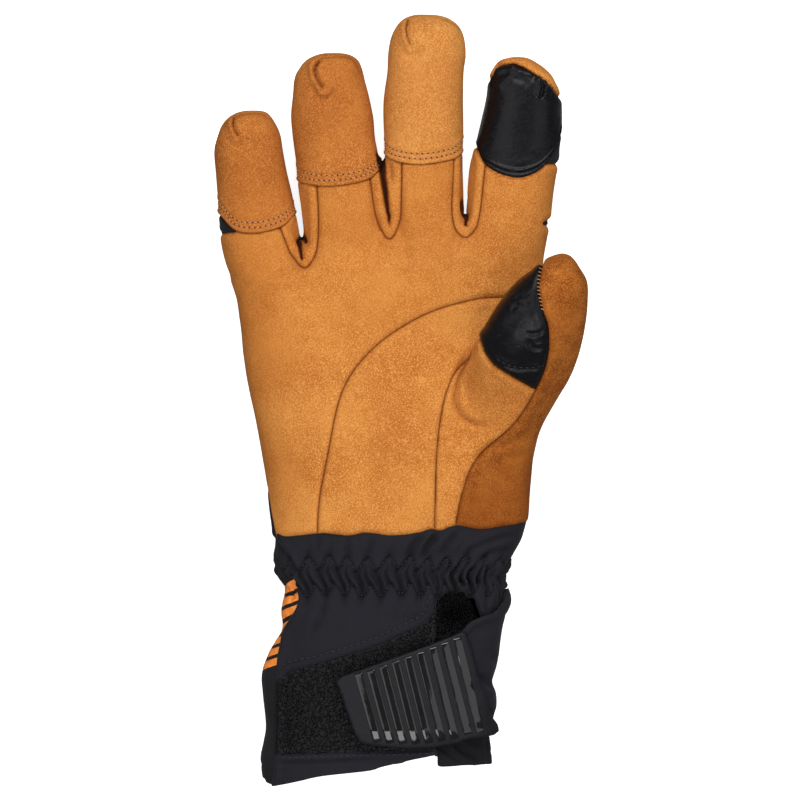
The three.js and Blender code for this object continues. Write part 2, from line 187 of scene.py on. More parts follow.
palm_tan = nubuck("palm_leather", shade(178, 102, 38), shade(208, 136, 62), shade(228, 160, 88),
                  nap=0.2, grain=0.6)
pebbled_tan = nubuck("pebbled_leather", shade(184, 110, 46), shade(214, 145, 72), shade(232, 168, 96),
                     nap=0.36, grain=1.4, blotch=0.1, pores=0.45)
cap_tan = nubuck("cap_leather", shade(158, 84, 30), shade(196, 120, 52), shade(218, 148, 78),
                 nap=0.26, grain=0.8)
thumb_tan = nubuck("thumb_suede", shade(126, 60, 14), shade(172, 98, 34), shade(196, 126, 58),
                   nap=0.3, grain=0.8, blotch=0.32)
print("leathers:", palm_tan.name, cap_tan.name, thumb_tan.name)


# %% [markdown]
# ## Black touch leather
# The fingertip that works a screen is smooth coated leather, so it is the one glossy skin on the glove.
# Fine wrinkles break up its reflection: a stretched noise bends the normal and also drives the roughness.

# %% The smooth black leather
def smooth_leather(name):
    skin = Finish(name, Specular_IOR_Level=0.17)
    grain = skin.noise(0.9, 4, 0.65)
    crumple = skin.noise(4.5, 3, 0.5, (1.0, 0.7, 1.0), 0.5)
    skin.to("Base Color", skin.mix(skin.between(grain, 0.4, 0.75), shade(9, 9, 12), shade(19, 20, 25)))
    skin.to("Roughness", skin.between(crumple * 0.6 + grain * 0.4, 0.3, 0.7, 0.24, 0.36))
    skin.to("Normal", skin.bump(grain, 0.14, 0.7, skin.bump(crumple, 0.6, 0.4)))
    return skin.material


touch_black = smooth_leather("touch_leather")
print("touch leather:", touch_black.name)


# %% [markdown]
# ## Softshell, loop pile, rubber and thread
# Softshell is a tight knit with a dull face. Two crossed waves give its ribs, too fine to model. The loop
# pile is almost black because light is lost between its loops. The tab is moulded rubber, a little glossy.

# %% The dark finishes and the thread
KNIT_RIBS = 420.0


def softshell_finish(name, dark, light, rough=0.78):
    cloth = Finish(name, Sheen_Weight=0.04, Sheen_Roughness=0.5, Specular_IOR_Level=0.22)
    threads = {"Vector": cloth.place(), "Scale": KNIT_RIBS, "Distortion": 1.2}
    bands = [{"wave_type": "BANDS", "bands_direction": axis} for axis in "XY"]
    warp, weft = (cloth.node("ShaderNodeTexWave", band, threads)["Fac"] for band in bands)
    weave = warp * 0.5 + weft * 0.5
    cloud = cloth.noise(9, 3)
    plain = cloth.mix(cloth.between(cloud * 0.7 + weave * 0.3, 0.3, 0.75), dark, light)
    # Painted shade: the deep mark darkens the cloth towards near black in its fold valleys and in the strap's
    # mouth.
    cloth.to("Base Color", cloth.mix(cloth.mark("deep").clamp(), plain, shade(5, 5, 8)))
    cloth.to("Roughness", cloth.between(cloud, 0.3, 0.7, rough - 0.08, rough + 0.08))
    cloth.to("Normal", cloth.bump(weave, 0.09, 0.6, cloth.bump(cloth.noise(3, 3), 0.2, 0.5)))
    return cloth.material


def plain_finish(name, dark, light, low, high, size, depth, **constants):
    made = Finish(name, **constants)
    grain = made.noise(size, 3, 0.6)
    made.to("Base Color", made.mix(made.between(grain, 0.35, 0.7), dark, light))
    made.to("Roughness", made.between(grain, 0.3, 0.7, low, high))
    made.to("Normal", made.bump(grain, depth, 0.7))
    return made.material


shell_black = softshell_finish("softshell", shade(18, 18, 24), shade(29, 29, 37))
back_black = softshell_finish("back_softshell", shade(17, 17, 21), shade(27, 27, 32))
pile_black = plain_finish("loop_pile", shade(2, 2, 4), shade(11, 11, 16), 0.3, 0.45, 0.6, 0.2,
                          Specular_IOR_Level=0.2)
tab_rubber = plain_finish("tab_rubber", shade(18, 18, 23), shade(26, 26, 32), 0.5, 0.62, 1.2, 0.05,
                          Specular_IOR_Level=0.22)
rib_rubber = plain_finish("rib_rubber", shade(7, 7, 9), shade(12, 12, 14), 0.07, 0.13, 5.0, 0.12)
tan_thread = plain_finish("tan_thread", shade(172, 104, 50), shade(222, 158, 94), 0.6, 0.8, 0.3, 0.08)
black_thread = plain_finish("black_thread", shade(18, 18, 21), shade(40, 40, 45), 0.55, 0.75, 0.3, 0.08)
# Painted shade: the needle holes are dark brown plugs whose colour stands for the shade inside the holes.
hole_shade = plain_finish("needle_hole_shade", shade(60, 30, 12), shade(84, 44, 18), 0.9, 0.95, 0.5, 0.02)
inside_dark = plain_finish("inside_fleece", shade(26, 26, 30), shade(46, 46, 52), 0.9, 0.98, 0.9, 0.3,
                           Sheen_Weight=0.2)
print("dark finishes, threads and the inside are ready")


# %% [markdown]
# ## Sections of the hand
# A section says where it lies along the fingers, its two sides, its underside and its top. A curve through
# the rows fills in the sections between them, so that a short table makes a smooth finger.

# %% Section tables
# Each row is y, left, right, low, high
little = [
    (30, -54, -38, 10, 22), (41, -60.5, -33.5, 3, 28), (51, -64.5, -34.5, 1, 28.5),
    (59.5, -66.5, -37.3, 1, 27.5), (67, -67.2, -38.8, 1.5, 27), (76, -68, -40.5, 2, 26.5),
    (84.5, -68.6, -42.5, 2.5, 26.5), (92.5, -69, -44, 3.5, 27), (98.5, -67.5, -45, 4.5, 27),
    (102.5, -65.7, -46.7, 6, 26.5), (105.5, -62.7, -48.6, 8, 25), (107, -59.6, -50.4, 11.5, 21.5),
    (107.4, -57.6, -52.6, 14, 19),
]
ring = [
    (30, -32, -6, 8, 26), (41, -36, -2, 2, 31), (51, -37, -2.2, 1, 31), (61, -35.9, -4, 1, 30),
    (69, -36.3, -5.6, 1.5, 29.5), (79.5, -37.8, -6.9, 2, 29), (89, -38.7, -8.1, 2.5, 28.5),
    (97, -39.8, -9.6, 3, 28.5), (105.5, -40.5, -10.5, 3.5, 28.5), (113.5, -40, -12, 4.5, 29),
    (119.5, -39.3, -13.7, 5.5, 29), (123, -37.6, -14.6, 7, 28), (126, -35, -16, 9, 26.5),
    (128, -31, -19, 12.5, 23.5), (128.6, -28, -22, 15, 20.5),
]
middle = [
    (30, 0, 22, 8, 27), (41, -3, 26, 2, 32), (52, -3.4, 25.4, 1, 32), (62.5, -4.4, 24.6, 1, 31),
    (70, -4.6, 22.9, 1, 30.5), (79.5, -5.3, 22.4, 1.5, 30), (89, -5.7, 22.3, 2, 29.5),
    (100, -6.2, 23, 2.5, 29.5), (111, -6.3, 22.8, 3, 29.5), (121.5, -5, 23, 4, 29.5),
    (128, -4.6, 23.8, 5, 29.5), (134, -3.5, 23.3, 6.5, 29), (138.2, -1.5, 21.6, 9, 27.5),
    (141, 1.2, 18.4, 12, 25), (142.3, 4, 15.2, 15, 22), (142.7, 6.5, 12.6, 17, 20.5),
]
index = [
    (30, 26, 46, 9, 26), (41, 22, 52, 2, 31), (52, 23, 52.7, 1, 31), (62, 23.6, 54.3, 1, 30),
    (70, 24.8, 55.5, 1, 29.5), (78, 25.2, 56.4, 1.5, 29), (87.5, 26.1, 58, 2, 29), (98, 28.5, 59, 2.5, 29),
    (106.5, 30.5, 59.4, 3, 29.5), (113.5, 31.8, 59, 4, 29.5), (119.5, 32.4, 56.8, 5.5, 29),
    (123, 34, 53.8, 7, 28), (126, 36.5, 49.5, 9.5, 26), (127.3, 40, 46.5, 13.5, 22),
    (127.6, 42.5, 43.5, 17, 18.5),
]
thumb = [
    (-46, 33, 43, 9, 21), (-33, 28, 47.2, 6, 27), (-22, 26, 48.7, 6, 31), (-11, 24.4, 51.6, 8, 36),
    (-0.5, 23.6, 57, 12, 42), (10, 24, 62.6, 19, 50), (19, 26.2, 65.7, 26, 57), (28, 31, 67.7, 32.5, 62),
    (37, 36.8, 68.5, 36, 64.5), (44, 42.7, 68, 38.5, 64.5), (49, 49.2, 65.2, 42, 62.5),
    (52, 53.8, 63, 45.5, 59.5), (53.4, 56.6, 61, 49, 56), (53.7, 58.3, 59.3, 52, 53.5),
]
palm = [
    (-64, -47.5, 42, -4, 30), (-49.5, -47.5, 45.5, -4, 31.5), (-39, -48.6, 47, -4, 33),
    (-26, -50.3, 47.6, -4, 34.5), (-11, -53, 47.5, -4, 36), (2, -55.6, 48, -4, 36.5),
    (15, -57.9, 49, -4, 36.5), (26, -59, 50.5, -4, 36), (37, -60.5, 51.6, -4, 35), (46, -63, 52.5, -3, 33),
    (50, -60.5, 51, 0, 30), (54, -50, 46, 4, 25),
]
FINGER_POWER = 2.3
HAND_POWER = 2.6
print("sections:", {name: len(rows) for name, rows in dict(little=little, ring=ring, middle=middle).items()})


# %% [markdown]
# ## From a table to a smooth loft
# A Catmull-Rom curve passes through every row. Each filled-in section is a superellipse, between an ellipse
# and a box, pressed flat where it would go through the table that the glove lies on.

# %% Curves through points, and lofts
def curve(points, steps=10):
    p = np.asarray(points, float)
    p = np.vstack([2 * p[0] - p[1], p, 2 * p[-1] - p[-2]])
    pieces = []
    for k in range(1, len(p) - 2):
        t = np.linspace(0, 1, steps, endpoint=False)[:, None]
        a, b, c, d = p[k - 1], p[k], p[k + 1], p[k + 2]
        pieces.append(0.5 * (2 * b + (c - a) * t + (2 * a - 5 * b + 4 * c - d) * t ** 2
                             + (3 * b - a - 3 * c + d) * t ** 3))
    return np.vstack(pieces + [p[-2:-1]])


def signed_power(value, power):
    return np.sign(value) * np.abs(value) ** power


def ring_faces(rings, sides, base=0):
    faces = [(r * sides + k, r * sides + (k + 1) % sides, (r + 1) * sides + (k + 1) % sides,
              (r + 1) * sides + k) for r in range(rings - 1) for k in range(sides)]
    faces += [tuple(reversed(range(sides))), tuple((rings - 1) * sides + k for k in range(sides))]
    return [tuple(base + k for k in face) for face in faces]


def loft(rows, power, sides=96, steps=9, turn=None):
    dense = curve(rows, steps)
    if turn is None:
        turn = np.linspace(0, 2 * np.pi, sides, endpoint=False)
    across, up = signed_power(np.cos(turn), 2 / power), signed_power(np.sin(turn), 2 / power)
    y, left, right, low, high = (dense[:, k:k + 1] for k in range(5))
    x = (left + right) / 2 + (right - left) / 2 * across
    z = np.maximum((low + high) / 2 + (high - low) / 2 * up, 0)
    points = np.stack([x, np.broadcast_to(y, x.shape), z], axis=2).reshape(-1, 3)
    return points, ring_faces(len(dense), sides)


def make_object(name, points, faces):
    mesh = bpy.data.meshes.new(name)
    places = (np.asarray(points) * MM).tolist()
    mesh.from_pydata(places, [], [tuple(int(i) for i in face) for face in faces])
    mesh.update()
    made = bpy.data.objects.new(name, mesh)
    bpy.context.collection.objects.link(made)
    return made


print("a loft of the little finger has", len(loft(little, FINGER_POWER)[0]), "points")


# %% [markdown]
# ## One skin over the whole hand
# The lofts run into each other at the knuckles, and a few short lofts fill the webs between the fingers. A
# voxel remesh drops what is inside and leaves one even skin, and a few rounds of smoothing take its steps
# off. `melt` smooths only where a weight says so, such as in the fold of the thumb.

# %% Join, remesh and smooth
FINGERS = {"little": little, "ring": ring, "middle": middle, "index": index}
VOXEL = 0.88


def one_skin(parts, voxel):
    points, faces = [], []
    for part_points, part_faces in parts:
        offset = sum(len(chunk) for chunk in points)
        points.append(part_points)
        faces += [tuple(i + offset for i in face) for face in part_faces]
    rough = make_object("rough_hand", np.vstack(points), faces)
    change = rough.modifiers.new("skin", "REMESH")
    change.mode = "VOXEL"
    change.voxel_size = voxel * MM
    graph = bpy.context.evaluated_depsgraph_get()
    mesh = bpy.data.meshes.new_from_object(rough.evaluated_get(graph))
    bpy.data.objects.remove(rough)
    return mesh_arrays(mesh)


def mesh_arrays(mesh):
    mesh.calc_loop_triangles()
    points = np.empty(len(mesh.vertices) * 3)
    mesh.vertices.foreach_get("co", points)
    triangles = np.empty(len(mesh.loop_triangles) * 3, dtype=np.int64)
    mesh.loop_triangles.foreach_get("vertices", triangles)
    return points.reshape(-1, 3) / MM, triangles.reshape(-1, 3)


def pairs_of(triangles):
    return np.sort(np.vstack([triangles[:, [0, 1]], triangles[:, [1, 2]], triangles[:, [2, 0]]]), axis=1)


def edges_of(triangles):
    return np.unique(pairs_of(triangles), axis=0)


def towards_neighbours(points, edges):
    total = np.zeros_like(points)
    for axis in range(3):
        total[:, axis] = (np.bincount(edges[:, 0], points[edges[:, 1], axis], len(points))
                          + np.bincount(edges[:, 1], points[edges[:, 0], axis], len(points)))
    count = np.bincount(edges.ravel(), minlength=len(points))[:, None]
    return total / np.maximum(count, 1) - points


def relax(points, triangles, rounds, amount=0.5):
    edges = edges_of(triangles)
    for _ in range(rounds):
        for strength in (amount, -amount * 1.04):
            points = points + towards_neighbours(points, edges) * strength
        points[:, 2] = np.maximum(points[:, 2], 0)
    return points


def melt(points, triangles, weight, rounds):
    near = triangles[(weight[triangles] > 0.02).all(axis=1)]
    used, inverse = np.unique(near, return_inverse=True)
    edges = edges_of(inverse.reshape(-1, 3))
    patch, strength = points[used].copy(), 0.6 * weight[used][:, None]
    for _ in range(rounds):
        patch += towards_neighbours(patch, edges) * strength
    result = points.copy()
    result[used] = patch
    return result


def normals_of(points, triangles):
    a, b, c = (points[triangles[:, k]] for k in range(3))
    face = np.cross(b - a, c - a)
    total = np.zeros_like(points)
    for k in range(3):
        for axis in range(3):
            total[:, axis] += np.bincount(triangles[:, k], face[:, axis], len(points))
    return total / np.maximum(np.linalg.norm(total, axis=1, keepdims=True), 1e-12)


def side_of(points, line):
    best, side = np.full(len(points), 1e9), np.zeros(len(points))
    travelled, part = 0.0, np.zeros(len(points))
    lengths = np.hypot(*np.diff(line, axis=0).T)
    for a, b, length in zip(line[:-1], line[1:], lengths):
        step = b - a
        t = np.clip(((points - a) @ step) / max(step @ step, 1e-12), 0, 1)
        distance = np.hypot(*(points - a - t[:, None] * step).T)
        closer = distance < best
        turn = step[0] * (points[:, 1] - a[1]) - step[1] * (points[:, 0] - a[0])
        best, side = np.where(closer, distance, best), np.where(closer, np.sign(turn), side)
        part = np.where(closer, (travelled + t * length) / lengths.sum(), part)
        travelled += length
    return best, side, part


def line_distance(points, line):
    return side_of(points, line)[0]


def bell(distance, width):
    return np.exp(-(distance / width) ** 2)


def smooth_step(value, low, high):
    t = np.clip((value - low) / (high - low), 0, 1)
    return t * t * (3 - 2 * t)


# Each web is a short loft of rows like the fingers' own: y, left, right, low, high
WEBS = [
    [(36, -48, -24, 4, 28), (44, -46, -26, 4, 28.5), (50, -43, -29.5, 4, 28.3), (54, -41, -32, 4, 27.5),
     (57, -40, -34, 4, 24.5), (59, -39, -35, 6, 20)],
    [(38, -20, 12, 4, 30.6), (46, -18, 11, 4, 31), (52, -16, 9, 4, 30.8), (57, -13, 6, 4, 30),
     (62, -10, 1, 4, 29), (67, -9.6, -0.6, 4, 28.6), (74, -10.2, -1.6, 3, 27.8), (81, -10.8, -2.6, 3, 26),
     (86, -11.2, -3.4, 3, 22.5), (90, -10.8, -4.8, 4, 17)],
    [(38, 8, 44, 4, 30.6), (46, 9, 42, 4, 31), (52, 11, 39, 4, 30.8), (57, 14, 35, 4, 30),
     (62, 19, 29.5, 4, 28), (65.5, 21.4, 26.6, 4, 25.5), (68.6, 22.6, 25.2, 6, 21.5)],
]
hand_parts = [loft(palm, HAND_POWER, 160)] + [loft(rows, FINGER_POWER) for rows in [*FINGERS.values(), *WEBS]]
hand_points, hand_triangles = one_skin(hand_parts + [loft(thumb, FINGER_POWER)], VOXEL)
hand_points = relax(hand_points, hand_triangles, 9)
THUMB_FOLD = np.array([(24, 15), (25.5, 7), (28, -3), (31.5, -13), (35, -20)], float)
near_fold = bell(line_distance(hand_points[:, :2], THUMB_FOLD), 6.5)
near_fold *= np.clip(hand_points[:, 2] / 6 - 3, 0, 1)
hand_points = melt(hand_points, hand_triangles, near_fold, 90)
print("hand skin:", len(hand_points), "points,", len(hand_triangles), "triangles")

# %% [markdown]
# ## Where the seams run
# Most seams were measured looking straight down on the glove, so each is a short row of points in X and Y
# with a smooth curve through them. The side seam is the exception: it runs round the hand at a height of
# its own.

# %% Seam lines and outlines, seen from above
SIDE_SEAM = [(-160, 11), (-50, 12), (0, 13), (50, 11), (80, 11), (110, 12), (128, 15), (160, 17)]
HEM = [(-60, -51.8), (-45.5, -50.8), (-30.5, -49), (-24.7, -49.3), (-19, -49.8), (-13.1, -48.8),
       (-3.9, -49.8), (5.4, -49), (11.1, -47.4), (14.6, -48), (20.4, -46.1), (29.4, -47.4), (38, -46.4),
       (47.2, -45.3), (60, -44.6)]
THENAR = [(-31, -62), (-30.6, -40), (-27.5, -22), (-21.5, 4), (-9.6, 20), (7, 31), (22, 36.3), (36, 38.3),
          (60, 36)]
THUMB_ROOT = [(12.4, -62), (12.6, -40), (13.2, -20), (15.2, -3), (18.4, 7.5), (23, 15), (27, 19)]
THUMB_SPLIT = [(55.4, 60), (52, 52), (50.2, 42.5), (51.8, 33), (54, 26), (53.8, 15), (50, 4.5), (42.3, -8),
               (30, -19), (24.5, -28), (20.5, -44), (19, -62)]
PATCH_EDGE = [(18, 29), (25.5, 26), (28.4, 22.8), (29.5, 19.8), (30.9, 16.6), (33.7, 13.2), (38, 10.2),
              (44.2, 6.6), (50, 3.6), (60, -1)]
CROTCHES = {
    "little_ring": [(-45, 65.5), (-42.6, 59.5), (-39.6, 52.8), (-35.5, 49.4), (-32.2, 53.3), (-31, 60),
                    (-31, 70), (-31.8, 86)],
    "ring_middle": [(-11.6, 90), (-10.2, 74), (-9, 67), (-7.2, 62.3), (-4.3, 60.1), (-1.8, 62.3),
                    (-0.6, 67), (-0.3, 74), (0, 92)],
    "middle_index": [(20.2, 95), (19.6, 80), (19.2, 70), (20.6, 63.2), (23.8, 60.7), (27.1, 63.4),
                     (28.8, 70), (29.6, 77), (31.2, 91)],
}
STRIP_TOPS = {"little_ring": [(-42, 90), (-44, 70)], "ring_middle": [(-5, 94)], "middle_index": [(26, 97)]}
CAP_EDGES = {
    "little": [(-74, 75), (-67.4, 69.7), (-61.4, 63.3), (-55.1, 61.9), (-49, 62.8), (-43.7, 64.8),
               (-40.3, 68.5), (-34, 76)],
    "ring": [(-45, 86), (-39.5, 82.8), (-36.1, 80.6), (-30, 79.4), (-24.6, 79.3), (-17.6, 80.3), (-12, 82),
             (-8.2, 85.2), (-3, 91)],
    "middle": [(-11, 97), (-6.3, 91.9), (-2.5, 88.9), (4, 87.4), (9.6, 87.4), (16.7, 88.7), (20.9, 90.6),
               (27, 97)],
    "index": [(22, 104), (27.8, 93.5), (30.9, 87.3), (36.4, 83.6), (42.5, 82.1), (47, 82.8), (51.6, 85.2),
              (55.4, 89.6), (57.6, 94.2), (59.2, 99), (62, 104)],
}
INDEX_FRONT = [(24, 70), (26.5, 100), (30.3, 113), (32.2, 118.8), (35.4, 124), (41.5, 125.2), (46, 123.2),
               (52, 119.4), (56.4, 115.8), (58.6, 113), (60.8, 111), (64, 110), (64, 70)]
BACK_SHOWS = [
    [(-74, 73), (-67.4, 69.7), (-60.6, 63.2), (-62.4, 62.3), (-66, 62.1), (-74, 62.4)],
    [(-49.4, -32), (-48.1, -41), (-46.6, -50), (-46.4, -60), (-58, -60), (-58, -32)],
    [(52.6, 65.3), (58, 68.6), (58, 64.4)],
    [(51, 87.3), (54.8, 87.5), (63, 88.2), (63, 108), (54, 104)],
]


def along(line, x):
    dense = curve(line)
    return np.interp(x, dense[:, 0], dense[:, 1])


def above(points, line):
    return points[:, 1] - along(line, points[:, 0])


def outline_of(line, corners):
    return np.vstack([curve(line), corners])


print("seams:", 4 + len(CROTCHES) + len(CAP_EDGES))


# %% [markdown]
# ## Distances that decide where to cut
# A panel is the part of the skin where some number is above zero: how far a point lies inside an outline,
# above the side seam, or nearer to the thumb's section than to the palm's. Numbers like these can be
# combined with the smaller or the larger of two, which is how an outline is limited to the palm side.

# %% Inside distance, section reach and the side seam's height
def inside(points, outline):
    closed = np.vstack([outline, outline[:1]]).astype(float)
    flat = points[:, :2]
    odd = np.zeros(len(flat), bool)
    for (ax, ay), (bx, by) in zip(closed[:-1], closed[1:]):
        crosses = (ay > flat[:, 1]) != (by > flat[:, 1])
        if ay != by:
            odd ^= crosses & (flat[:, 0] < (bx - ax) * (flat[:, 1] - ay) / (by - ay) + ax)
    return line_distance(flat, closed) * np.where(odd, 1, -1)


def reach(points, rows, power):
    dense = curve(rows, 9)
    y = points[:, 1]
    left, right, low, high = (np.interp(y, dense[:, 0], dense[:, k]) for k in (1, 2, 3, 4))
    across = np.abs(points[:, 0] - (left + right) / 2) / np.maximum((right - left) / 2, 0.1)
    up = np.abs(points[:, 2] - (low + high) / 2) / np.maximum((high - low) / 2, 0.1)
    outside = (y < dense[0, 0] - 1) | (y > dense[-1, 0] + 1)
    return np.where(outside, 9.0, (across ** power + up ** power) ** (1 / power))


def above_side(points):
    return points[:, 2] - np.interp(points[:, 1], *np.array(SIDE_SEAM, float).T)


def finger_reach(points):
    return np.stack([reach(points, rows, FINGER_POWER) for rows in FINGERS.values()])


# %% [markdown]
# ## Cutting a skin along a line
# Triangles that the line crosses are split where the number is zero, so that both panels share exactly the
# same edge points. A corner that is almost on the line is first moved onto it, which avoids slivers.

# %% Cut one skin into the part above zero and the part below
class Skin:
    def __init__(self, data, triangles):
        self.data = data
        self.triangles = triangles

    @property
    def points(self):
        return self.data[:, :3]

    @property
    def normals(self):
        return self.data[:, 3:6]


def new_skin(points, triangles, normals=None):
    normals = normals_of(points, triangles) if normals is None else normals
    return Skin(np.hstack([points, normals]), triangles)


def compact(data, triangles):
    used, inverse = np.unique(triangles, return_inverse=True)
    return Skin(data[used].copy(), inverse.reshape(-1, 3))


def cut(skin, value, snap=0.14, keep_all=False):
    data, triangles, value = skin.data.copy(), skin.triangles, np.array(value, float)
    edges = edges_of(triangles)
    a, b = edges[:, 0], edges[:, 1]
    for near, far in ((a, b), (b, a)):
        crossing = value[a] * value[b] < 0
        near, far = near[crossing], far[crossing]
        t = value[near] / (value[near] - value[far])
        close = t < snap
        data[near[close]] += (skin.data[far[close]] - skin.data[near[close]]) * t[close, None]
        value[near[close]] = 0
    sign = np.sign(value).astype(int)
    crossing = sign[a] * sign[b] < 0
    first, second = a[crossing], b[crossing]
    t = value[first] / (value[first] - value[second])
    fresh = data[first] + (data[second] - data[first]) * t[:, None]
    place = {(int(i), int(j)): len(data) + k for k, (i, j) in enumerate(zip(first, second))}
    data = np.vstack([data, fresh])
    signs = sign[triangles]
    low, high = signs.min(axis=1), signs.max(axis=1)
    above, below = [triangles[(low >= 0)]], [triangles[(high <= 0) & (low < 0)]]
    extra_above, extra_below = [], []
    for triangle, corner in zip(triangles[(low < 0) & (high > 0)], signs[(low < 0) & (high > 0)]):
        upper, lower = [], []
        for k in range(3):
            i, j = int(triangle[k]), int(triangle[(k + 1) % 3])
            if corner[k] >= 0:
                upper.append(i)
            if corner[k] <= 0:
                lower.append(i)
            if corner[k] * corner[(k + 1) % 3] < 0:
                upper.append(place[(min(i, j), max(i, j))])
                lower.append(upper[-1])
        for polygon, store in ((upper, extra_above), (lower, extra_below)):
            store += [(polygon[0], polygon[k], polygon[k + 1]) for k in range(1, len(polygon) - 1)]
    parts = []
    for whole, extra in ((above, extra_above), (below, extra_below)):
        part = compact(data, np.vstack(whole + ([np.array(extra)] if extra else [])))
        parts.append(part if keep_all else largest(part))
    return parts


def largest(skin):
    label = np.arange(len(skin.data))
    edges = edges_of(skin.triangles)
    while True:
        before = label.copy()
        np.minimum.at(label, edges[:, 0], label[edges[:, 1]])
        np.minimum.at(label, edges[:, 1], label[edges[:, 0]])
        label = label[label]
        if (before == label).all():
            break
    winner = np.bincount(label[skin.triangles[:, 0]]).argmax()
    return compact(skin.data, skin.triangles[label[skin.triangles[:, 0]] == winner])


# %% [markdown]
# ## The panels of the hand
# The order matters, as it does at a cutting table: hem first, then the thumb, the fingertips and the back,
# and the palm is what is left. A fingertip cap lies over the panel below it, so that panel keeps a 2 mm
# strip under it.

# %% Cut the hand into its panels
CAP_OVERLAP = 2.2
MELT_TOPS = (58, 84, 66)
# The black back panel reaches higher up the inner sides of the fingers: partly the real panel that shows
# there, partly painted shade that darkens the gaps between the fingers.
SIDE_RISE = {"little": (1, 4.5), "ring": (-1, 5.0), "middle": (-1, 4.0), "index": (-1, 4.0)}
OUTSIDE = -9
for line, top in zip(CROTCHES.values(), MELT_TOPS):
    depth = inside(hand_points, curve(line))
    below_top = np.clip((top - hand_points[:, 1]) / 5, 0, 1)
    on_strip = np.clip(depth / 2.5 + 0.8, 0, 1) * np.clip(hand_points[:, 2] / 5 - 2.6, 0, 1) * below_top
    hand_points = melt(hand_points, hand_triangles, on_strip, 26)
whole = new_skin(hand_points, hand_triangles)
whole = cut(whole, above(whole.points, HEM))[0]

thumb_base = outline_of(THUMB_ROOT, [(95, 19), (95, -70), (12.4, -70)])
others = np.minimum(finger_reach(whole.points).min(axis=0), reach(whole.points, palm, HAND_POWER))
thumb_lead = (others - reach(whole.points, thumb, FINGER_POWER)) * 14
on_thumb = np.maximum(inside(whole.points, thumb_base), np.where(whole.points[:, 1] > 2, thumb_lead, OUTSIDE))
thumb_skin, rest = cut(whole, np.minimum(on_thumb, above_side(whole.points)))

panels = {}
for number, (name, edge) in enumerate(CAP_EDGES.items()):
    owner = finger_reach(rest.points).argmin(axis=0)
    over = np.where((owner == number) & (rest.points[:, 1] > 55), above(rest.points, edge), OUTSIDE)
    panels[f"cap_{name}"] = cut(rest, over)[0]
    rest = cut(rest, CAP_OVERLAP - over)[0]
tip = panels.pop("cap_index")
tip_front = np.minimum(inside(tip.points, INDEX_FRONT), above_side(tip.points))
panels["cap_index_front"], panels["cap_index_back"] = cut(tip, tip_front)

back = -above_side(rest.points)
owner = finger_reach(rest.points).argmin(axis=0)
for number, (name, (side, rise)) in enumerate(SIDE_RISE.items()):
    dense = curve(FINGERS[name], 9)
    centre = np.interp(rest.points[:, 1], dense[:, 0], (dense[:, 1] + dense[:, 2]) / 2)
    on_side = np.clip(side * (rest.points[:, 0] - centre) / 4, 0, 1)
    back += np.where(owner == number, rise * on_side * np.clip((rest.points[:, 1] - 50) / 8, 0, 1), 0)
for outline in BACK_SHOWS:
    back = np.maximum(back, inside(rest.points, outline))
panels["back_panel"], rest = cut(rest, back)

for name, line in CROTCHES.items():
    panels[f"fourchette_{name}"], rest = cut(rest, inside(rest.points, outline_of(line, STRIP_TOPS[name])))
thenar_outline = outline_of(THENAR, [(95, 30), (95, -70), (-31, -70)])
panels["thenar_panel"], panels["palm_panel"] = cut(rest, inside(rest.points, thenar_outline))

front_outline = outline_of(THUMB_SPLIT, [(-20, -70), (-20, 70)])
inner, panels["thumb_back"] = cut(thumb_skin, inside(thumb_skin.points, front_outline))
patch_outline = outline_of(PATCH_EDGE, [(95, 70), (10, 70)])
panels["thumb_touch_patch"], panels["thumb_front"] = cut(inner, inside(inner.points, patch_outline))
for name, skin in panels.items():
    print(name, len(skin.data), "points,", len(skin.triangles), "triangles")


# %% [markdown]
# ## What shapes a panel
# Each panel dips into its seams and swells a little beside them, because the edges are turned in and the
# padding pushes back. On top come slow undulations of a hand that has been worn, and creases where the
# photographed glove has them. Every rule works from where a point is on the uncut hand, so two neighbours
# still meet exactly. Triangles near fine detail are halved, and the rest of the skin stays coarse.

# %% Soft noise, edge distance and the making of a panel
def soft_noise(points, size, seed):
    rng = np.random.default_rng(seed)
    lattice = rng.random((64, 64, 64))
    where = points / size + 100.3
    cell = np.floor(where).astype(int)
    part = where - cell
    part = part * part * (3 - 2 * part)
    total = np.zeros(len(points))
    for corner in np.ndindex(2, 2, 2):
        weight = np.where(corner, part, 1 - part).prod(axis=1)
        total += weight * lattice[tuple(((cell + corner) % 64).T)]
    return total * 2 - 1


def border_points(skin):
    found, times = np.unique(pairs_of(skin.triangles), axis=0, return_counts=True)
    return np.unique(found[times == 1])


def tree_of(points):
    tree = KDTree(len(points))
    for k, point in enumerate(points):
        tree.insert(point, k)
    tree.balance()
    return tree


def distance_to(points, targets):
    tree = tree_of(targets)
    return np.array([tree.find(point)[2] for point in points])


def spot(points, at, width):
    return bell(np.hypot(*(points[:, :2] - at).T), width)


def object_from(name, points, faces, finish, marks=None, wall=0, lining=None, smooth=True):
    made = make_object(name, points, faces)
    mesh = made.data
    mesh.polygons.foreach_set("use_smooth", np.full(len(mesh.polygons), smooth))
    for key, values in (marks or {}).items():
        mesh.attributes.new(key, "FLOAT", "POINT").data.foreach_set("value", np.asarray(values, np.float32))
    mesh.materials.append(finish)
    if wall:
        mesh.materials.append(lining)
        change = made.modifiers.new("wall", "SOLIDIFY")
        change.thickness = wall * MM
        change.offset = -1
        change.use_even_offset = False
        change.material_offset = 1
        change.material_offset_rim = 0
    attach(made, "root")
    return made


def shape(name, skin, height, marks, finish, wall, lining):
    points = skin.points + skin.normals * height[:, None]
    points[:, 2] = np.maximum(points[:, 2], 0)
    made = object_from(f"{name}_sewn", points, skin.triangles, finish, marks, wall, lining)
    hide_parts(name)
    shaped[name] = new_skin(points, skin.triangles)


shaped = {}


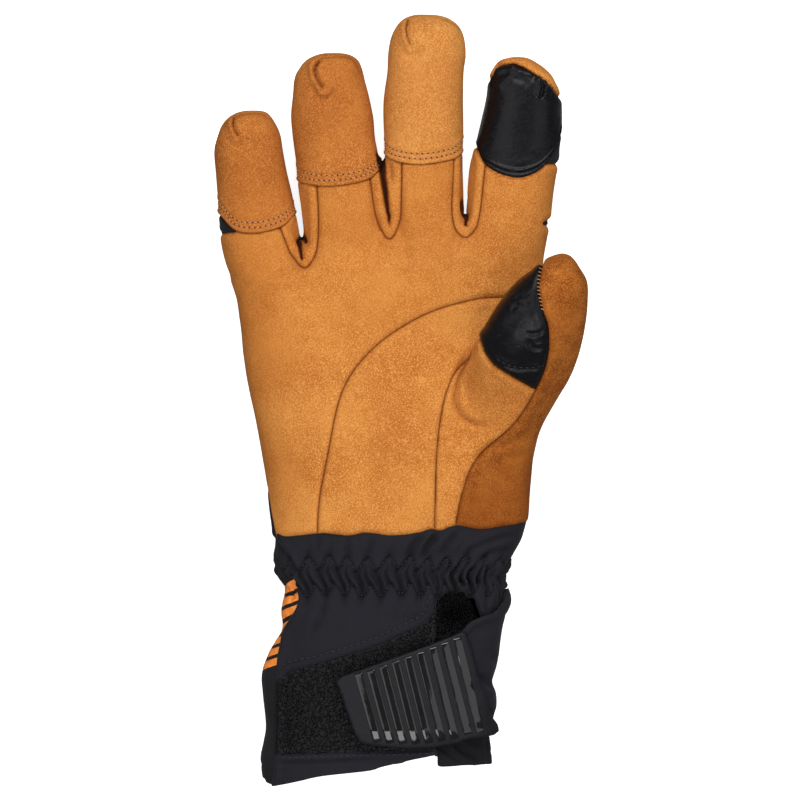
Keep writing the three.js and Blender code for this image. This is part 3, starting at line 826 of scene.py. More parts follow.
def refine(skin, near):
    edges, corners, count = edges_of(skin.triangles), skin.triangles, len(skin.data)
    ends = np.sort(np.stack([corners, np.roll(corners, -1, axis=1)], axis=2), axis=2)
    numbers = np.searchsorted(edges[:, 0] * count + edges[:, 1], ends[..., 0] * count + ends[..., 1])
    halved = np.zeros(len(edges), bool)
    halved[numbers[near[corners].any(axis=1)]] = True
    place, marked = count + np.cumsum(halved) - 1, halved[numbers]
    data = np.vstack([skin.data, (skin.data[edges[halved, 0]] + skin.data[edges[halved, 1]]) / 2])
    times = marked.sum(axis=1)
    result = [corners[times == 0]]
    for turn in range(3):
        turned, cuts, yes = (np.roll(part, -turn, axis=1) for part in (corners, numbers, marked))
        one, two = (times == 1) & yes[:, 0], (times == 2) & yes[:, 0] & yes[:, 1]
        (a, b, c), ab = turned[one].T, place[cuts[one, 0]]
        result += [np.column_stack(new) for new in ((a, ab, c), (ab, b, c))]
        (a, b, c), ab, bc = turned[two].T, place[cuts[two, 0]], place[cuts[two, 1]]
        result += [np.column_stack(new) for new in ((ab, b, bc), (a, ab, bc), (a, bc, c))]
    (a, b, c), (ab, bc, ca) = corners[times == 3].T, place[numbers[times == 3]].T
    result += [np.column_stack(new) for new in ((a, ab, ca), (ab, b, bc), (ca, bc, c), (ab, bc, ca))]
    return Skin(data, np.vstack(result))


print("panels can be shaped")


# %% [markdown]
# ## Creases and fingertip darts
# A crease is a line seen from above with a depth and a width. A dart is a crease whose left lip stands up,
# because the leather there is folded over before it is sewn down, and a line of painted shade runs along its
# fold. A slit is the fold between two fingers, darkened with painted shadow, a dimple is a soft dent beside a
# dart, and a tip rim is where a cap turns over its fingertip, marked with a line of painted shade. The
# thumb's deep crease carries painted shade as well.

# %% Tables of creases, dents and darts
CREASES = [
    dict(line=[(-2.5, 59.8), (4, 59.2), (12, 60.2), (16, 61.5)], depth=0.35, width=1.1),
    dict(line=[(12, 38), (17, 43), (22, 49.5)], depth=0.3, width=2.6),
    dict(line=[(-24, 54), (-15, 50), (-6, 49)], depth=0.2, width=2.5),
    # This fold at the thumb's base is marked dark: painted shade runs along it.
    dict(line=[(28.4, 20.5), (24.6, 16.6), (21.2, 10), (19.9, 4), (20, -0.8), (22.4, -5.6), (27, -8.6),
               (32, -9.6)], depth=1.6, width=1.25, dark=True),
    dict(line=[(34.5, 15.2), (40, 12.4), (47, 11.7), (53.5, 12.8)], depth=0.3, width=0.6),
    dict(line=[(46.5, 22), (48.5, 19.5), (51.5, 19)], depth=0.5, width=0.7),
    dict(line=[(45.5, 25), (49, 24.4), (52, 26)], depth=0.4, width=0.7),
    dict(line=[(40, 33), (42.5, 35), (44.5, 34), (47, 36)], depth=0.45, width=0.7),
    dict(line=[(41, 36.5), (43.5, 38.5), (46.5, 38)], depth=0.35, width=0.7),
    dict(line=[(21.5, -22), (26, -21), (33, -17.5), (42, -15), (49, -12.5)], depth=0.5, width=1.6),
    dict(line=[(33, -24), (39, -21.5), (47, -20)], depth=0.35, width=1.8),
    dict(line=[(24.6, 12), (23.4, 7), (23.8, 2), (26.5, -3)], depth=0.3, width=1.0),
    dict(line=[(-9.5, 57), (-3, 55.5), (4, 55.5), (12, 57)], depth=0.22, width=1.4),
    dict(line=[(-30, 74), (-24, 72.5), (-17, 73)], depth=0.18, width=2.2),
    dict(line=[(2, 80), (9, 78.5), (16, 80)], depth=0.18, width=2.2),
    dict(line=[(33, 76), (40, 74.5), (48, 76)], depth=0.2, width=2.2),
    dict(line=[(-56, 50), (-50, 47.5), (-42, 47)], depth=0.25, width=1.8),
    dict(line=[(-58, 38), (-50, 33), (-40, 31)], depth=0.22, width=2.4),
]
DARTS = [
    dict(finger="little", line=[(-61.8, 105), (-61.9, 101.5), (-60, 97.4)], lip=0.55, groove=0.75),
    dict(finger="ring", line=[(-30.4, 126), (-32, 122.5), (-30.9, 118.5), (-28.4, 114.8)], lip=1.15,
         groove=1.3),
    dict(finger="middle", line=[(2.6, 140.8), (1.9, 137.5), (2.4, 134.3), (3.6, 130.8)], lip=0.5,
         groove=0.6),
]
# Each slit also carries painted shadow, and dark says how far it spreads at the slit's upper end. The second
# slit is mostly painted shadow beside the gap between the little and ring fingers, with a shallow dip.
SLITS = [
    dict(line=[(-37.5, 59.5), (-37.3, 57), (-36.9, 54), (-36.4, 51.8)], depth=2.0, width=1.0, dark=0.45),
    dict(line=[(-37, 64.5), (-36.5, 62), (-35.8, 60), (-34.9, 58)], depth=0.8, width=1.0, dark=0.9),
    dict(line=[(-7.6, 91), (-6.6, 83.4), (-5.6, 76), (-4.8, 70.5), (-4.1, 68.2), (-4.3, 66.3),
               (-3.6, 64.2)], depth=2.6, width=1.1, dark=1.3),
    dict(line=[(23.8, 75.5), (23, 72.6), (23.3, 70), (24.2, 67.8), (23.9, 65.6), (24.7, 64.2)], depth=1.8,
         width=1.0, dark=0.8),
]
DIMPLES = [
    dict(at=(-57.5, 94.2), depth=0.45, width=3.5), dict(at=(-26.5, 110.3), depth=1.0, width=3.6),
    dict(at=(-22, 113.5), depth=0.35, width=4.5), dict(at=(4.8, 128), depth=1.3, width=3.4),
    dict(at=(12, 124.5), depth=0.4, width=5), dict(at=(-14, 122), depth=0.35, width=4),
]
# Each row is the depth, the size and the seed of one layer of soft noise
UNDULATIONS = ((0.30, 21, 5), (0.14, 9, 6), (0.05, 3.2, 7))
TIP_RIMS = [
    [(-62, 104.6), (-57.5, 106), (-51.5, 106.1), (-48.4, 103.6)],
    [(-30.4, 126.4), (-22.5, 127.1), (-18.1, 126.4), (-15.4, 122.9), (-14.2, 119.5)],
    [(13.5, 141.6), (17.6, 140.4), (20.6, 138.6), (22.8, 135.6)],
]


def ends_faded(part, rate):
    return np.clip(np.minimum(part, 1 - part) * rate, 0, 1)


def fold_height(points, normals, folds, lip=0.5, lip_place=1.8, rate=5):
    height, faces_up = np.zeros(len(points)), np.clip(normals[:, 2] * 3, 0, 1)
    for fold in folds:
        distance, _, part = side_of(points[:, :2], curve(fold["line"], 6))
        fade = ends_faded(part, rate) * faces_up
        height -= fold["depth"] * bell(distance, fold["width"]) * fade
        height += lip * fold["depth"] * bell(distance - lip_place * fold["width"], fold["width"]) * fade
    return height


# Painted shade along a crease or rim line, fading at the line's ends.
def crease_shade_marks(points, lines, strength, width):
    mark = np.zeros(len(points))
    for line in lines:
        distance, _, part = side_of(points[:, :2], curve(line, 6))
        mark = np.maximum(mark, strength * bell(distance, width) * ends_faded(part, 6))
    return mark


def dart_relief(points, dart, faces_up):
    flat, (end_x, end_y) = points[:, :2], dart["line"][-1]
    distance, side, part = side_of(flat, curve(dart["line"], 8))
    fade = np.clip((1 - part) * 9, 0, 1) * faces_up
    groove = dart["groove"] * np.where(side < 0, bell(distance, 0.35), bell(distance, 1.0)) * fade
    lips = np.where(side < 0, bell(distance - 1.0, 1.2), 0.3 * bell(distance - 2, 1.4))
    lips = lips * fade * np.clip(part * 5 + 0.1, 0, 1)
    bottom = np.hypot(*(flat - (end_x, end_y)).T)
    low_arc = np.clip(0.4 - (flat[:, 1] - end_y) / 2.5, 0, 1) * faces_up
    tuck = (0.8 * bell(bottom - 1.6, 1.0) - 0.7 * bell(bottom - 3.6, 1.2)) * low_arc
    # The second value is a line of painted shade along the dart's fold.
    return dart["lip"] * (lips + tuck) - groove, 1.15 * bell(distance, 0.26) * fade


def slit_relief(points, slit, faces_up):
    distance, _, part = side_of(points[:, :2], curve(slit["line"], 6))
    fade = np.clip((1.02 - part) * 6, 0, 1) * faces_up
    raised = np.clip(points[:, 2] / 8 - 1.6, 0, 1)
    shadow_width = 0.35 + slit["dark"] * np.clip(1 - part, 0, 1) ** 0.7
    # The second value is painted shadow in the gap between two fingers, widest at the slit's upper end.
    return (-slit["depth"] * bell(distance, slit["width"]) * fade * raised,
            1.8 * np.exp(-(distance / shadow_width) ** 4) * fade)


def relief(points, normals):
    faces_up = np.clip(normals[:, 2] * 3, 0, 1)
    height = sum(depth * soft_noise(points, size, seed) for depth, size, seed in UNDULATIONS)
    height += fold_height(points, normals, CREASES, 0.35, 1.9, 6)
    # Painted shade along the dark creases and the tip rims, and below it along the darts and slits.
    shaded_crease_lines = [crease["line"] for crease in CREASES if "dark" in crease]
    mark = np.maximum(crease_shade_marks(points, shaded_crease_lines, 0.8, 0.45), crease_shade_marks(points, TIP_RIMS, 0.45, 0.3))
    mark *= faces_up
    parts = [dart_relief(points, dart, faces_up) for dart in DARTS]
    parts += [slit_relief(points, slit, np.clip(normals[:, 2] * 3 + 0.6, 0, 1)) for slit in SLITS]
    for rise, dark in parts:
        height, mark = height + rise, np.maximum(mark, dark)
    for dimple in DIMPLES:
        height -= dimple["depth"] * spot(points, dimple["at"], dimple["width"]) * faces_up
    for rim in TIP_RIMS:
        distance, _, part = side_of(points[:, :2], curve(rim, 6))
        height -= 0.35 * bell(distance, 0.6) * ends_faded(part, 6) * faces_up
    return height, mark


print("creases:", len(CREASES), "darts:", len(DARTS))


# %% [markdown]
# ## Sewing the hand together
# One function shapes every panel. Caps stand proud with a rolled edge, and two lines of needle marks pull
# them down. All other edges dip into their seam. Painted shade darkens each seam line, the foot of each cap's
# rolled edge and the strip under it.

# %% Make the hand's panels
SEAM_DEPTH = 0.85
WALL, STRIP_WALL, TOUCH_WALL = 1.3, 0.6, 0.8
INDEX_BAND = 3.0
CAP_ROWS = (2.0, 3.9)
BORDERS_REFINED = ["palm_panel", "thenar_panel", "thumb_back", "cap_index_front"]
BORDERS_REFINED += [f"fourchette_{name}" for name in CROTCHES]
for dart in DARTS:
    name = f"cap_{dart['finger']}"
    skin = panels[name]
    on_dart = line_distance(skin.points[:, :2], curve(dart["line"], 8)) < 5
    near_edge = above(skin.points, CAP_EDGES[dart["finger"]]) < 5.5
    panels[name] = refine(skin, near_edge | (on_dart & (skin.normals[:, 2] > 0)))
for name in BORDERS_REFINED:
    skin = panels[name]
    near = distance_to(skin.points, skin.points[border_points(skin)]) < 1.2
    near &= skin.normals[:, 2] > -0.1
    for slit in SLITS if name.startswith("fourchette") else ():
        near |= line_distance(skin.points[:, :2], curve(slit["line"], 6)) < 3
    if name == "cap_index_front":
        near |= (skin.points[:, 1] > 109) & (skin.normals[:, 2] > 0)
        near |= above(skin.points, CAP_EDGES["index"]) < 5
    panels[name] = refine(skin, near)


def cap_rolls(inward):
    swells = 0.5 * bell(inward - 0.75, 0.8) + 0.2 * bell(inward - 2.95, 0.5) + 0.22 * bell(inward - 5.3, 0.9)
    return 0.28 + swells - 0.2 * bell(inward - CAP_ROWS[0], 0.45) - 0.2 * bell(inward - CAP_ROWS[1], 0.45)


def sew(name, finish, cap=None, wear=0.0, puff=0.3, extra=0.0, wall=WALL):
    skin = panels[name]
    edge = distance_to(skin.points, skin.points[border_points(skin)])
    height, mark = relief(skin.points, skin.normals)
    height = height + extra
    if cap:
        inward = above(skin.points, CAP_EDGES[cap])
        height += cap_rolls(inward)
        # Painted shade along the foot of the cap's rolled edge.
        seam_shade_mark = 0.5 * bell(inward, 0.25)
    else:
        height += puff * bell(edge - 2.6, 1.7) - SEAM_DEPTH * bell(edge, 0.85)
        # Painted shade along the seam groove, a little lighter on the thumb.
        seam_shade_mark = (0.75 if name.startswith("thumb") else 1) * bell(edge, 0.36)
        owner = finger_reach(skin.points).argmin(axis=0)
        for number, line in enumerate(CAP_EDGES.values()):
            over = above(skin.points, line)
            under = (owner == number) & (skin.points[:, 1] > 50) & (not name.startswith("cap"))
            height -= np.where(under, 0.5 * smooth_step(over, -1.2, 0.2), 0)
            # Painted shadow under the edge of the cap that lies over this panel.
            seam_shade_mark = np.maximum(seam_shade_mark, np.where(under, 0.7 * bell(over, 0.45), 0))
    stain = np.clip(wear + 0.45 * soft_noise(skin.points, 18, 11), 0, 1)
    shape(name, skin, height, {"painted_shade": np.maximum(seam_shade_mark, mark), "wear": stain}, finish, wall, inside_dark)
    shaped[name].data[:, 3:] = skin.normals


hand = panels["palm_panel"].points
# The palm is darker towards its left side and towards the fingers.
left_side = 0.75 * smooth_step(-hand[:, 0], 26, 54) * smooth_step(64 - hand[:, 1], 0, 40)
sew("palm_panel", palm_tan, wear=left_side + 0.5 * smooth_step(hand[:, 1], 15, 62))
sew("thenar_panel", palm_tan)
sew("thumb_front", palm_tan)
suede = panels["thumb_back"].points
spots = smooth_step(np.abs(soft_noise(suede, 8, 51)), 0.15, 0.7)
spots *= smooth_step(soft_noise(suede, 15, 52), -0.3, 0.5)
# The thumb's back is darker towards the wrist and carries random darker spots.
sew("thumb_back", thumb_tan, wear=0.75 * smooth_step(-suede[:, 1], 0, 30) + 0.35 * spots)
sew("thumb_touch_patch", touch_black)
sew("back_panel", back_black)
for crotch in CROTCHES:
    sew(f"fourchette_{crotch}", palm_tan, wear=0.3, puff=0.55, wall=STRIP_WALL)
sew("cap_little", cap_tan, cap="little", wear=0.3)
sew("cap_ring", cap_tan, cap="ring", wear=0.2)
sew("cap_middle", pebbled_tan, cap="middle", wear=0.2)


def touch_tip_rise(skin):
    inward = above(skin.points, CAP_EDGES["index"])
    rise = 0.55 * bell(inward - 0.8, 0.9) - 0.55 * bell(inward - 2.1, 0.5)
    rise += 0.7 * bell(inward - INDEX_BAND, 0.55) + 0.3 * bell(inward - 5.5, 2.0)
    distance, side, part = side_of(skin.points[:, :2], curve([(52.2, 118.6), (52.4, 115), (51.3, 111.3)], 8))
    right_lip = 0.6 * bell(distance - 1.5, 1.5) * (1 + np.sin(part * 21))
    lips = np.where(side < 0, bell(distance - 1.3, 1.3), right_lip)
    rise += (0.8 * lips - 1.3 * bell(distance, 0.6)) * np.clip((1 - part) * 6, 0, 1)
    gathered = smooth_step(skin.points[:, 1], 113, 121)
    rise += gathered * (0.55 * soft_noise(skin.points, 2.6, 13) - 0.2)
    rise += 0.6 * spot(skin.points, (36, 116), 2.4) - 0.5 * spot(skin.points, (33.5, 113.5), 2.2)
    return rise * np.clip(skin.normals[:, 2] * 2.5, 0, 1)


touch_rise = touch_tip_rise(panels["cap_index_front"])
sew("cap_index_front", touch_black, puff=0.35, extra=touch_rise, wall=TOUCH_WALL)
sew("cap_index_back", palm_tan)
print("sewn panels:", len(shaped))

# %% [markdown]
# ## The cuff as a second skin
# The cuff is a short softshell tube. Its sections follow the photographed outline: narrow at the elastic,
# then flaring to the hem. Its grid is evenly spaced round the wrist, because folds are described by how far
# round they lie. The number `s` is that distance, and on the palm side it is almost the same as X.

# %% The cuff's sections and its even grid
CUFF = [
    (-43.5, -47, 46.6, -4, 31), (-47.2, -47.2, 45.6, -4, 30.6), (-50.6, -47.3, 44.6, -4, 30.3),
    (-54, -47.2, 43, -4, 30), (-57.5, -47.4, 40.9, -4, 29.2), (-61, -46.5, 39, -4, 28.6),
    (-63, -46.8, 37.9, -4, 28.2), (-65, -45.6, 37.2, -4, 27.7), (-68.5, -43.1, 37.8, -4, 27),
    (-72, -43.4, 38.2, -4, 26.8), (-77, -44.6, 37.4, -4, 27), (-83.8, -44.8, 35.6, -4, 27.4),
    (-89, -46.9, 34.6, -4, 27.6), (-94.2, -49.3, 34, -4, 27.6), (-101.6, -51.5, 32.4, -4, 27.5),
    (-109, -51.2, 32.8, -4, 27.2), (-120, -50.2, 32.2, -4, 26.7), (-126, -50.9, 33, -4, 26.2),
    (-131.5, -52, 33.6, -4, 25.8), (-136, -51.8, 33.2, -4, 25.5), (-139.5, -51, 33, -4, 25.2),
    (-144, -48.5, 32.5, -4, 25),
]
CUFF_MIDDLE = -3.5
ROW_STEP = 0.78
AROUND = 310
CUFF_HALF_WIDTH, CUFF_HALF_HEIGHT = 42.5, 16


def even_rows(rows, spacing):
    dense = curve(rows)
    y = np.arange(dense[0, 0], dense[-1, 0], -spacing)
    return np.column_stack([y] + [np.interp(-y, -dense[:, 0], dense[:, k]) for k in range(1, 5)])


def even_turns(half_width, half_height, power, count):
    turn = np.linspace(-np.pi / 2, 1.5 * np.pi, 6000)
    x = half_width * signed_power(np.cos(turn), 2 / power)
    z = half_height * signed_power(np.sin(turn), 2 / power)
    walked = np.append(0, np.cumsum(np.hypot(np.diff(x), np.diff(z))))
    even = np.linspace(0, walked[-1], count, endpoint=False)
    return np.interp(even, walked, turn), walked[-1] / 2 - even


def tube(rows, spacing, count, half_width, half_height):
    even = even_rows(rows, spacing)
    turn, walked = even_turns(half_width, half_height, HAND_POWER, count)
    points, faces = loft(even, HAND_POWER, count, 1, turn)
    quads = np.array(faces[:-2])
    triangles = np.vstack([quads[:, [0, 1, 2]], quads[:, [0, 2, 3]]])
    s = np.tile(walked + CUFF_MIDDLE, len(even))
    return Skin(np.hstack([points, normals_of(points, triangles), s[:, None]]), triangles)


cuff_skin = tube(CUFF, ROW_STEP, AROUND, CUFF_HALF_WIDTH, CUFF_HALF_HEIGHT)
print("cuff skin:", len(cuff_skin.data), "points; girth", round(float(np.ptp(cuff_skin.data[:, 6]))), "mm")


# %% [markdown]
# ## Elastic gathers
# Two rows of elastic are sewn on with zigzag thread. When the elastic pulls in, the cloth between the rows
# has to go somewhere: it stands up in an arch over each peak of the zigzag, and the legs of the arch spread
# downwards. Above the rows the cloth still bulges between the peaks, and below them it runs out into long
# soft folds.

# %% The height of the gathers, and the two zigzag lines
PEAKS = [-34, -26.2, -19.6, -12.4, -4.7, 3.1, 9.8, 16.2, 23.1, 30, 37]
PEAK_PITCH = 7.2
UPPER_ROW, LOWER_ROW, ZIGZAG = -60.2, -69.8, 2.3


def peak_number(s):
    beyond = np.maximum(s - PEAKS[-1], 0) + np.minimum(s - PEAKS[0], 0)
    return np.interp(s, PEAKS, np.arange(len(PEAKS))) + beyond / PEAK_PITCH


def zigzag_rows(s):
    number = peak_number(s)
    off = np.abs(number - np.round(number))
    sway = 0.5 * np.sin(number * 1.7)
    return UPPER_ROW + sway + ZIGZAG * (1 - 4 * off), LOWER_ROW + sway + ZIGZAG * (1 - 4 * off), off


def gathers(s, y):
    upper, lower, off = zigzag_rows(s)
    down = np.clip((upper - y) / (upper - lower), 0, 1)
    legs = bell(off - 0.04 - 0.26 * down, 0.1) - 0.7 * bell(off - 0.5, 0.09) - 0.45 * down * bell(off, 0.09)
    above = np.clip((y - upper) / 9.5, 0, 1)
    below = np.clip((lower - y) / 11, 0, 1)
    wave = np.cos(2 * np.pi * off)
    height = np.where(y > upper, -0.55 * wave * (1 - above) ** 2, 0.6 * wave * (1 - below) ** 2)
    height = np.where((y <= upper) & (y >= lower), 1.05 * legs, height)
    height -= 0.55 * bell(y - upper, 0.75) + 0.55 * bell(y - lower, 0.75)
    side_calm = 1 - 0.6 * smooth_step(-s, 38, 50) - 0.5 * smooth_step(s, 44, 60)
    between_rows = smooth_step(upper + 2 - y, 0, 3) * smooth_step(y - lower + 2, 0, 3)
    tight = smooth_step(s, 9, 18) * smooth_step(44 - s, 0, 6) * between_rows
    height += 0.6 * tight * np.sin(s * 2.05 + 0.9 * np.sin(y * 0.35))
    return height * side_calm * (1.6 + 0.2 * np.clip((s - 10) / 14, 0, 1))


deepest = gathers(cuff_skin.data[:, 6], cuff_skin.data[:, 1]).min()
print("the gathers sink by", round(-float(deepest), 2), "mm")


# %% [markdown]
# ## Outlines and folds of the cuff
# The front panel meets the back panel along a line at the left, and ends at the opening under the strap at
# the right. The loop pile is sewn on below a slanting edge. The folds were read off the photograph, each as
# a line with a depth.

# %% Tables for the cuff's panels
FRONT_LEFT = [(-46.8, -38), (-46, -50), (-41.5, -57.5), (-39.6, -62), (-39, -67), (-38, -71), (-38.2, -75),
              (-41, -80), (-43.9, -84.5), (-45, -90), (-46.1, -97), (-46.3, -110), (-46.8, -130),
              (-47.7, -141), (-48.4, -150)]
OPENING = [(13.5, -150), (13.5, -76), (13.9, -72.2), (17, -70.6), (22, -70.4), (26.5, -72.5), (28.8, -77),
           (31, -82), (34, -86), (60, -90)]
CUFF_BOTTOM = [(-62, -139), (-51.5, -139.4), (-49.5, -141.4), (-45.5, -142.1), (-38, -140.6), (-29, -138.6),
               (-12, -136.6), (-6.5, -135), (8, -131.7), (13, -130.8), (13.7, -132.5), (14.3, -135.2),
               (24, -134.9), (33, -134.8), (60, -134.6)]
BACK_BOTTOM = CUFF_BOTTOM[:9] + [(20, -130.6), (33, -131.4), (60, -131.8)]
LOOP_OUTLINE = [(-46, -103.6), (-41.3, -99.3), (-29.2, -96.4), (-14.2, -91.9), (-6.5, -89), (4.8, -83.6),
                (10.2, -80.5), (11.9, -77.5), (12.2, -74.6), (14.6, -71.4), (14.6, -129), (13.1, -129.2),
                (-17.2, -130), (-46.6, -131.1)]
CUFF_FOLDS = [
    dict(line=[(-27.5, -74), (-29.8, -79), (-34, -86.5)], depth=0.55, width=1.5),
    dict(line=[(-20, -74), (-21.5, -80), (-25, -86)], depth=0.25, width=2.0),
    dict(line=[(23.5, -57.2), (28, -54.2), (36, -51), (45, -48.5)], depth=0.7, width=1.3),
    dict(line=[(29, -58.5), (34, -56), (42, -53.8)], depth=0.6, width=1.2),
    dict(line=[(15, -58), (17, -53.5), (21.5, -47.6)], depth=0.9, width=1.3),
    dict(line=[(-31.5, -56), (-31, -52.5), (-30.6, -49.5)], depth=0.5, width=1.1),
    dict(line=[(-12, -56.5), (-11, -53), (-10.5, -50)], depth=0.5, width=1.3),
    dict(line=[(-38, -63), (-37.2, -68), (-36.6, -73)], depth=0.7, width=0.9),
    dict(line=[(-45.5, -53), (-42, -58), (-40, -64)], depth=0.3, width=1.2),
    dict(line=[(8, -59), (9.5, -54), (14, -48.6)], depth=1.3, width=1.1),
    dict(line=[(2.5, -58), (4.5, -53), (8.5, -49.6)], depth=0.8, width=1.1),
    dict(line=[(-20.5, -56.5), (-20, -53), (-18.6, -50.2)], depth=0.45, width=1.2),
    dict(line=[(20, -76), (12, -79), (2, -80), (-8, -78)], depth=0.35, width=2.6),
]


print("folds on the cuff:", len(CUFF_FOLDS))


# %% [markdown]
# ## The cuff's three panels
# The front panel lies over the back panel at the left, with a turned edge that stands up a little, and the
# back panel runs on under it so that no light comes through the seam. The gusset under the strap is set
# deeper, in a darker copy of the softshell that is painted shade. It sinks into a hollow at the mouth of the
# strap, darkened further with painted shade, and rises to meet the back panel's edge at the lower corner.
# Painted shade also darkens the front and back panels in their folds.

# %% Cut and shape the cuff's panels
HEM_OVERLAP = 1.6
SIDE_OVERLAP = 1.7
SHELL_WALL = 1.2
cuff_skin = cut(cuff_skin, HEM_OVERLAP - above(cuff_skin.points, HEM))[0]
upper_half = smooth_step(cuff_skin.points[:, 2], 6, 14)
from_bottom = above(cuff_skin.points, CUFF_BOTTOM) * upper_half
from_bottom += above(cuff_skin.points, BACK_BOTTOM) * (1 - upper_half)
cuff_skin = cut(cuff_skin, from_bottom)[0]
front_edge = np.vstack([curve(FRONT_LEFT)[::-1], [(95, -38), (95, -90)], curve(OPENING)[::-1]])
over_back = np.minimum(inside(cuff_skin.points, front_edge), above_side(cuff_skin.points))
panels["cuff_front"], cuff_rest = cut(cuff_skin, over_back)[0], cut(cuff_skin, SIDE_OVERLAP - over_back)[0]
gusset_edge = inside(cuff_rest.points, outline_of(OPENING, [(95, -90), (95, -160), (13.5, -160)]))
on_gusset = np.minimum(gusset_edge, above_side(cuff_rest.points))
panels["cuff_gusset"], panels["cuff_back"] = cut(cuff_rest, on_gusset)


def cuff_height(skin):
    points = skin.points
    height = gathers(skin.data[:, 6], points[:, 1]) + fold_height(points, skin.normals, CUFF_FOLDS)
    calm = smooth_step(-points[:, 1], 76, 96)
    height += (0.35 - 0.1 * calm) * soft_noise(points, 17, 21) + 0.16 * soft_noise(points, 7, 22)
    # Painted shade: the deeper a point lies in the gathers and folds, the darker the cloth is made.
    dark = smooth_step(-height, 0.0, 1.5)
    from_hem = above(points, CUFF_BOTTOM)
    return height + 0.35 * bell(from_hem, 1.6) - 0.3 * bell(from_hem - 4.6, 0.7), {"deep": dark}


front = panels["cuff_front"]
front_rise, dark = cuff_height(front)
front_gap = np.minimum(line_distance(front.points[:, :2], curve(FRONT_LEFT)),
                       line_distance(front.points[:, :2], curve(OPENING)))
in_loop = inside(front.points, LOOP_OUTLINE)
front_rise += 0.9 * bell(front_gap - 1.2, 1.4) - 0.5 * bell(front_gap, 0.5)
loop_rim = (1.0 * bell(in_loop + 1.3, 1.2) - 0.4 * bell(in_loop + 3.1, 0.5)) * smooth_step(front_gap, 1, 4)
front_rise += np.where(in_loop < 0.3, loop_rim, -0.2)
shape("cuff_front", front, front_rise, dark, shell_black, SHELL_WALL, inside_dark)

back = panels["cuff_back"]
back_rise, dark = cuff_height(back)
back_gap = line_distance(back.points[:, :2], curve(FRONT_LEFT))
back_sink = 0.3 + 0.6 * smooth_step(back.points[:, 1], -96, -84)
back_rise -= np.where(back.points[:, 2] > 5, back_sink * bell(back_gap, 2.6), 0)
shape("cuff_back", back, back_rise, dark, back_black, SHELL_WALL, inside_dark)

GUSSET_FOLDS = [
    dict(line=[(19, -125), (22.5, -129), (27, -131.5), (31, -132.5)], depth=2.0, width=1.4),
    dict(line=[(14, -127), (19, -130.5), (24, -134)], depth=1.2, width=1.3),
]
gusset = panels["cuff_gusset"]
hollow = bell(np.hypot(*((gusset.points[:, :2] - (21.5, -80)) / (1, 0.85)).T), 9.5)
hollow = np.maximum(hollow, 0.8 * spot(gusset.points, (35.5, -74), 4.2))
gusset_rise = -1.4 - 9 * hollow + fold_height(gusset.points, gusset.normals, GUSSET_FOLDS)
gusset_rise += 0.35 * soft_noise(gusset.points, 9, 23)
at_corner = smooth_step(-gusset.points[:, 1], 122, 127) * (1 - smooth_step(above_side(gusset.points), 0.5, 4))
gusset_rise += at_corner * (cuff_height(gusset)[0] - gusset_rise)
# A darker copy of the softshell: painted shade for the gusset that lies in the shadow of the strap.
gusset_shaded_softshell = softshell_finish("gusset_softshell_painted_shade", shade(13, 13, 17), shade(22, 22, 28), 0.85)
# Painted shade that darkens the gusset towards the strap's mouth.
shape("cuff_gusset", gusset, gusset_rise, {"deep": 1.2 * smooth_step(gusset.points[:, 1], -108, -96)},
      gusset_shaded_softshell, SHELL_WALL, inside_dark)
print("cuff panels:", [len(panels[name].triangles) for name in ("cuff_front", "cuff_back", "cuff_gusset")])


# %% [markdown]
# ## The print on the side of the cuff
# The side of the cuff carries a bright print. Here it is a plain column of orange chevrons of the same
# colour and size of stroke. Each is a thin film cut from the cuff's own surface, so it follows the folds.

# %% Cut the chevrons out of the back panel
orange_print = plain_finish("orange_print", shade(238, 128, 36), shade(255, 158, 66), 0.5, 0.65, 1.5, 0.03)
CHEVRONS = 7
CHEVRON_STEP = 4.7
CHEVRON_TOP = -68.5
PRINT_END = -65.4
FILM = 0.1
print_value = np.full(len(back.data), -9.0)
around = back.data[:, [6, 1]]
for number in range(CHEVRONS):
    tip = CHEVRON_TOP - CHEVRON_STEP * number
    outline = [(-33, tip + 5.2), (-50, tip), (-67, tip + 5.2),
               (-67, tip + 2.1), (-50, tip - 3.1), (-33, tip + 2.1)]
    print_value = np.maximum(print_value, inside(around, outline))
print_value = np.minimum(print_value, PRINT_END - around[:, 1])
ground = shaped["cuff_back"]
raised = new_skin(ground.points + 0.12 * ground.normals, back.triangles, ground.normals)
film = cut(raised, print_value, keep_all=True)[0]
object_from("print_chevrons", film.points, film.triangles, orange_print, wall=FILM, lining=orange_print)
print("print:", CHEVRONS, "chevrons,", len(film.triangles), "triangles")


# %% [markdown]
# ## Loop pile
# Loop pile is thousands of small loops standing in every direction. Each loop here is half a ring of thin
# thread with its own lean and turn, on a jittered grid so that no rows show.

# %% Grow the loops
LOOP_STEP = 1.12
PILE_BASE = 0.25
MOUTH_OUTLINE = [(14.4, -71), (22, -70.4), (28, -74), (31.5, -80), (33, -88), (24, -92), (14.4, -94)]
rng = np.random.default_rng(7)


